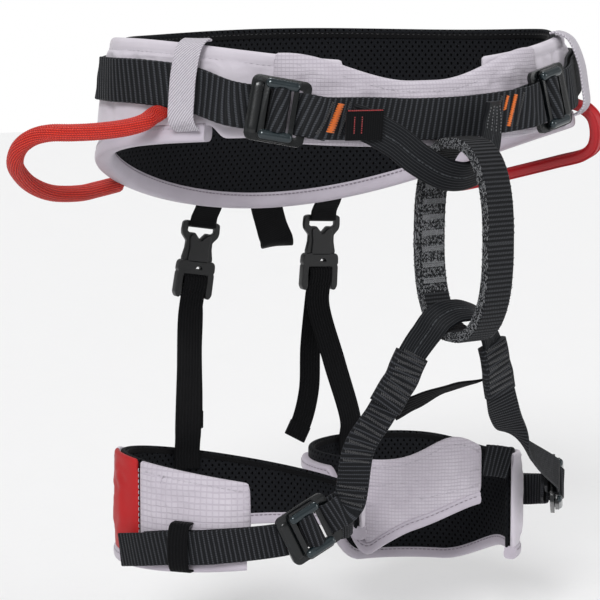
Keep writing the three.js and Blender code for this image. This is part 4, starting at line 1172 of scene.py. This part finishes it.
# the folded ends that wrap the tie-in tape to each leg strap
for leg, end, made in (("right", lower.line[[12, 6, 0]], right_front), ("left", lower.line[[-13, -7, -1]], left_front)):
    first = lower.across[0 if leg == "right" else -1]
    second = made.across[8]
    second = second if np.dot(first, second) > 0 else -second
    points = [*end, made.line[6], made.line[16], made.line[24]]
    wrap = Strap([(p, first if i < 3 else second) for i, p in enumerate(points)], 19.5, 5.6, step=1.0, round_edge=2.0)
    obj = wrap.mesh(f"{leg}_junction_wrap")
    obj.data.materials.append(LEG_WEB)
    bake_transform(obj)
    tacks = threads(f"{leg}_junction_bartacks", *bands(wrap, [(2, wrap.length - 2)], vec(-0.5, -1, 0), 16, 3.6), radius=0.32)
    tacks.data.materials.append(DARK)
    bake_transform(tacks)
for leg, knots in (("right", [(70, -236, -4), (60, -236, -1), (50, -235, 1)]),
                   ("left", [(40.5, -219, -2), (47, -220, 1), (54, -222, 4)])):
    strap(f"{leg}_inner_web", [(leg_point(leg)(a, z, out), vec(0, 0, -1)) for a, z, out in knots], 19,
          f"{leg}_leg", f"{leg}_leg_inner_strap", material=LEG_WEB)

# ---------- gear loops and haul loop ----------
right_gear = [belt_point(-61.5, 5, 1.3), belt_point(-62.5, -0.5, 2.6), (-140.5, -42.5, -4.5), (-146.4, -44.5, -7.5),
              (-155.5, -44, -10), (-171.5, -40, -12), (-184.5, -34, -12.7), (-194.5, -27, -13), (-200.4, -18, -15.6),
              (-204.1, -8, -21.5), (-202.8, 3, -31.1), (-194.6, 14, -39.5), (-183.8, 24, -46.3), (-168, 35, -51.9),
              (-145.3, 48, -54.2), (-130.3, 58, -53.6), (-112.5, 69, -52.3)]
line, _ = catmull(right_gear, step=0.45)
along = unit(np.gradient(line, axis=0))
flat = 1 - smooth((lengths(line) - 4) / 10)[:, None]
belt_way = unit(belt_point(-62, 0, 1) - belt_point(-62, 0))
side_way = unit(np.cross(along, vec(0.5, -0.2, 1)) * (1 - flat) + np.cross(along, belt_way) * flat)
other = np.cross(along, side_way)
turn = np.arange(88) / 88 * 2 * np.pi
places = lengths(line)[:, None]
columns = 0.5 + 0.5 * np.sin(turn[None] * 22)
lean = np.abs((turn[None] * 11 / np.pi) % 2 - 1) * 0.7
beads = columns ** 0.6 * (0.55 + 0.45 * np.sin((places + lean) * 2 * np.pi / 1.3))
radius = 4.5 + 0.32 * beads
rows = (line[:, None] + (radius * np.cos(turn)[None])[..., None] * side_way[:, None]
        + (radius * (1 - 0.72 * flat) * np.sin(turn)[None])[..., None] * other[:, None])
u = np.repeat(places, 89, 1)
v = np.repeat((np.arange(89) / 88 * 26.0)[None], len(line), 0)
piece(grid("right_gear_cord", rows, u, v), RED_BRAID, "right_gear", "red_cord", "right_gear_loop")
left_gear = Strap([(vec(*p), vec(0.9, 0.35, 0.25)) for p in (
    belt_point(63, -6, 1.5), (139, -44.5, -9), (143, -47.5, -14), (145.5, -47.5, -22.5), (147, -43, -31.5),
    (146, -35, -37), (141, -13, -43), (129.5, 34, -55), (124, 58, -61), (122, 68, -62.5), (121.5, 74, -60.5))],
    7, 6, round_edge=2.2)
piece(left_gear.mesh("left_gear_strip"), RED_STRIP, "left_gear", "red_strip", "left_gear_loop")
for face, where in (("front", 2.4), ("rear", -2.4)):
    for side in (-1, 1):
        s = np.linspace(6, left_gear.length - 3, 160)
        line, outs = left_gear.at(s, where, 0.0, side=side)
        knots = [(p, o) for p, o in zip(line, outs)]
        piece(Strap(knots, 1.0, 1.1, step=2.0).mesh(f"left_gear_{face}_ridge_{'in' if side < 0 else 'out'}"),
              RED_STRIP, "left_gear", "red_strip")
haul = Strap([(vec(*p), vec(1, 0, 0.03)) for p in (
    (6, 109, -58), (6.6, 109, -74), (10, 110, -86), (15, 111.5, -97), (17, 115.6, -100), (17.6, 119.8, -97),
    (15, 120.6, -86), (11, 119, -74), (8, 113.8, -61))], 21, 1.8)
piece(haul.mesh("haul_web"), FINE_WEB, "haul", "black_webbing", "haul_loop")

# ---------- risers ----------
def mirrored(half):
    return [(x, -y) for x, y in half] + half[::-1]


def rounded(points, radius=0.9, steps=4):
    """The outline with its corners rounded."""
    points, line = np.array(points, float), []
    for i, corner in enumerate(points):
        ways = [points[i - 1] - corner, points[(i + 1) % len(points)] - corner]
        ends = [corner + w * min(0.5, radius / np.linalg.norm(w)) for w in ways]
        for t in np.linspace(0, 1, steps):
            line.append(ends[0] * (1 - t) ** 2 + corner * 2 * t * (1 - t) + ends[1] * t ** 2)
    return line


def moulded(name, place, outline, holes, low, high, edge=0.4):
    """A flat moulding with rounded edges. Its outline lies on the fitting's own axes."""
    curve = bpy.data.curves.new(name, "CURVE")
    curve.dimensions, curve.fill_mode = "2D", "BOTH"
    curve.extrude, curve.bevel_depth, curve.bevel_resolution = (high - low) / 2 - edge, edge, 2
    for loop in (outline, *holes):
        spline = curve.splines.new("POLY")
        spline.points.add(len(loop) - 1)
        spline.points.foreach_set("co", np.array([(x, y, 0, 1) for x, y in loop], np.float32).ravel())
        spline.use_cyclic_u = True
    drawn = bpy.data.objects.new(name + "_outline", curve)
    mesh = bpy.data.meshes.new_from_object(drawn)
    bpy.data.objects.remove(drawn)
    local = np.array([v.co for v in mesh.vertices], float) + vec(0, 0, (low + high) / 2)
    mesh.vertices.foreach_set("co", (place.all(local) * MM).astype(np.float32).ravel())
    mesh.shade_smooth()
    mesh.set_sharp_from_angle(angle=math.radians(40))
    obj = bpy.data.objects.new(name, mesh)
    scene.collection.objects.link(obj)
    return obj


CLIP_FRAME = rounded(mirrored([(0.5, 10.2), (1.4, 12.0), (6.3, 12.3), (8.8, 11.8), (12.6, 8.4), (17, 8.5), (23.5, 9.9),
                               (25.5, 8.8)]))
CLIP_MOUTH = rounded(mirrored([(3.7, 9.4), (6.6, 9.5), (7.8, 7.8), (7.7, 3.9), (11.0, 0.9)]), 0.6)
SHIELD = rounded(mirrored([(12.2, 1.2), (8.9, 4.3), (8.9, 6.2), (10.4, 6.8), (16, 6.0), (25, 6.6)]), 0.8)
LOCK_BODY = rounded(mirrored([(24.6, 9.8), (25.2, 11.2), (26.6, 11.9), (30.4, 12.1), (31.5, 11.4), (32.6, 12.0),
                              (44.6, 12.2), (46.6, 11.2), (47.2, 10.2), (46.6, 9.2), (44.5, 8.7), (32.4, 8.6)]), 0.8)
WINDOW = [(29.8 - 2.6 * math.sin(t), 1.6 + 2.6 * math.cos(t)) for t in np.linspace(0, math.pi, 14)]
BAR = rounded(mirrored([(39.4, 9.0), (41.6, 9.0)]), 0.4)
RISER_X = {"right": -38.7, "left": 45}
RISER_LEAN = {"right": -0.16, "left": -0.06}
FOOT = {"right": (-149, (-200, -209, -219)), "left": (-139, (-209, -218, -229))}
TAIL = {"right": [(-45, 109.5, -135), (-50, 101, -160), (-57, 86, -186), (-62, 76, -202)],
        "left": [(40, 108, -135), (36.5, 107.5, -165), (35, 106.5, -192), (30, 105.5, -210), (23.5, 104.5, -222)]}
for side in ("right", "left"):
    place = Place((RISER_X[side] - 1, 106.5, -81.5), (RISER_LEAN[side], -0.02, -1), (0, -1, 0))
    for name, outline, holes, deep, node in (
            ("clip", CLIP_FRAME, [CLIP_MOUTH], (-1.6, 1.6), ["riser_hook"]), ("shield", SHIELD, [], (-2.3, 2.6), []),
            ("lock", LOCK_BODY, [WINDOW], (-2.6, 2.6), ["riser_ladder_lock"]), ("bar", BAR, [], (-1.5, 1.3), [])):
        piece(moulded(f"{side}_riser_{name}", place, outline, holes, *deep), PLASTIC, "waist_belt", "clip_plastic",
              *(f"{side}_{n}" for n in node))
    angle = 193.5 if side == "right" else 163.5
    level = vec(1, 0, 0)
    top_strap = Strap([(belt_point(angle, -56, 5), level), (belt_point(angle, -70, 4), level),
                       (place.point(-2, 2.8), level), (place.point(3.2, 2.8), level)], 18, 1.6)
    piece(top_strap.mesh(f"{side}_riser_top_web"), FINE_WEB, "waist_belt", "black_webbing", f"{side}_riser_top_strap")
    lean = vec(1, 0, RISER_LEAN[side])
    angle, heights = FOOT[side]
    point = leg_point(side)
    foot_way = unit(point(angle - 3, 0) - point(angle + 3, 0))
    foot = [(point(angle, z, -11 if i == 0 else -10), foot_way) for i, z in enumerate(heights)]
    first, second = place.point(42.8, 1.6), place.point(56, 1.6)
    riser = Strap([(first, lean), (second, lean), ((second + foot[0][0]) / 2, lean), *foot], 16, 1.6, step=1.5)
    obj = riser.mesh(f"{side}_riser_band")
    obj.data.materials.append(ELASTIC)
    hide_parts(f"{side}_riser_elastic")
    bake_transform(obj)
    tail = Strap([(place.point(44, -1.8), lean), *((vec(*p), vec(1, -0.05, 0)) for p in TAIL[side])], 14, 1.6)
    piece(tail.mesh(f"{side}_riser_end"), ELASTIC, f"{side}_tail", "black_elastic", f"{side}_riser_tail")
    turned = np.linspace(np.searchsorted(tail.s, tail.length - 11), len(tail.line) - 1, 4).astype(int)
    hem = Strap([(tail.line[i], tail.across[i]) for i in turned], 14.6, 3.2, round_edge=1.2)
    piece(hem.mesh(f"{side}_riser_end_hem"), ELASTIC, f"{side}_tail", "black_elastic")
    pairs = [(44, 1.7), (41, 3.0), (37, 3.3), (34.2, 2.6), (33.3, 0.6), (34.4, -1.6), (38, -2.4), (43.5, -1.9)]
    fold = Strap([(place.point(s, n), lean) for s, n in pairs], 15.4, 1.5, step=0.8)
    piece(fold.mesh(f"{side}_riser_fold"), ELASTIC, "waist_belt", "black_elastic")

bridge = Strap([(vec(-20.5, -98.5, -168), vec(0, 0.3, -1)), (vec(-6, -97, -164), vec(0, 0.5, -0.8)),
                (vec(14, -98, -158), vec(0, 0.8, -0.5)), (vec(32, -101, -155), vec(0, 0.9, -0.3))], 12, 1.4)
piece(bridge.mesh("leg_bridge_band"), ELASTIC, "waist_belt", "black_elastic", "leg_bridge_elastic")

# ---------- fill the pads ----------
simulate(PADS, pressure=2.5, cap=0.0016)
for obj, _ in PADS:
    subdivide(obj)

# ---------- light, floor and world ----------
floor_mesh = bpy.data.meshes.new("floor")
floor_mesh.from_pydata([(-4, -4, -0.335), (4, -4, -0.335), (4, 4, -0.335), (-4, 4, -0.335)], [], [(0, 1, 2, 3)])
floor = bpy.data.objects.new("floor", floor_mesh)
scene.collection.objects.link(floor)
floor_mesh.materials.append(hard("floor_paint", (0.86, 0.86, 0.865), (0.84, 0.84, 0.845), 0.0, 0.6, grain=40.0, depth=0.02))
floor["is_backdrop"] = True

world = bpy.data.worlds.new("studio")
scene.world = world
world.use_nodes = True
nodes, links = world.node_tree.nodes, world.node_tree.links
seen, lit = nodes["Background"], nodes.new("ShaderNodeBackground")
seen.inputs[1].default_value = 1.0
lit.inputs[1].default_value = 0.42
for background in (seen, lit):
    background.inputs[0].default_value = (1, 1, 1, 1)
ray, choose = nodes.new("ShaderNodeLightPath"), nodes.new("ShaderNodeMixShader")
links.new(ray.outputs["Is Camera Ray"], choose.inputs[0])
links.new(lit.outputs[0], choose.inputs[1])
links.new(seen.outputs[0], choose.inputs[2])
links.new(choose.outputs[0], nodes["World Output"].inputs[0])


def lamp(name, at, spread, power):
    """A broad soft light that shines from one direction, with the same strength everywhere."""
    data = bpy.data.lights.new(name, "SUN")
    data.angle = math.radians(spread)
    data.energy = power
    obj = bpy.data.objects.new(name, data)
    obj.rotation_mode = "QUATERNION"
    obj.rotation_quaternion = (-Vector(at)).to_track_quat("-Z", "Y")
    scene.collection.objects.link(obj)


lamp("key", (-1.3, -1.6, 1.3), 20, 2.0)
lamp("fill", (1.6, -1.2, 0.5), 30, 0.6)
lamp("top", (0.3, 0.8, 2.0), 25, 1.0)
scene.view_settings.view_transform = "Standard"

low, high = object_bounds()
{"cad": [list(c) for c in CAD_BOX], "visual": [list(low), list(high)]}
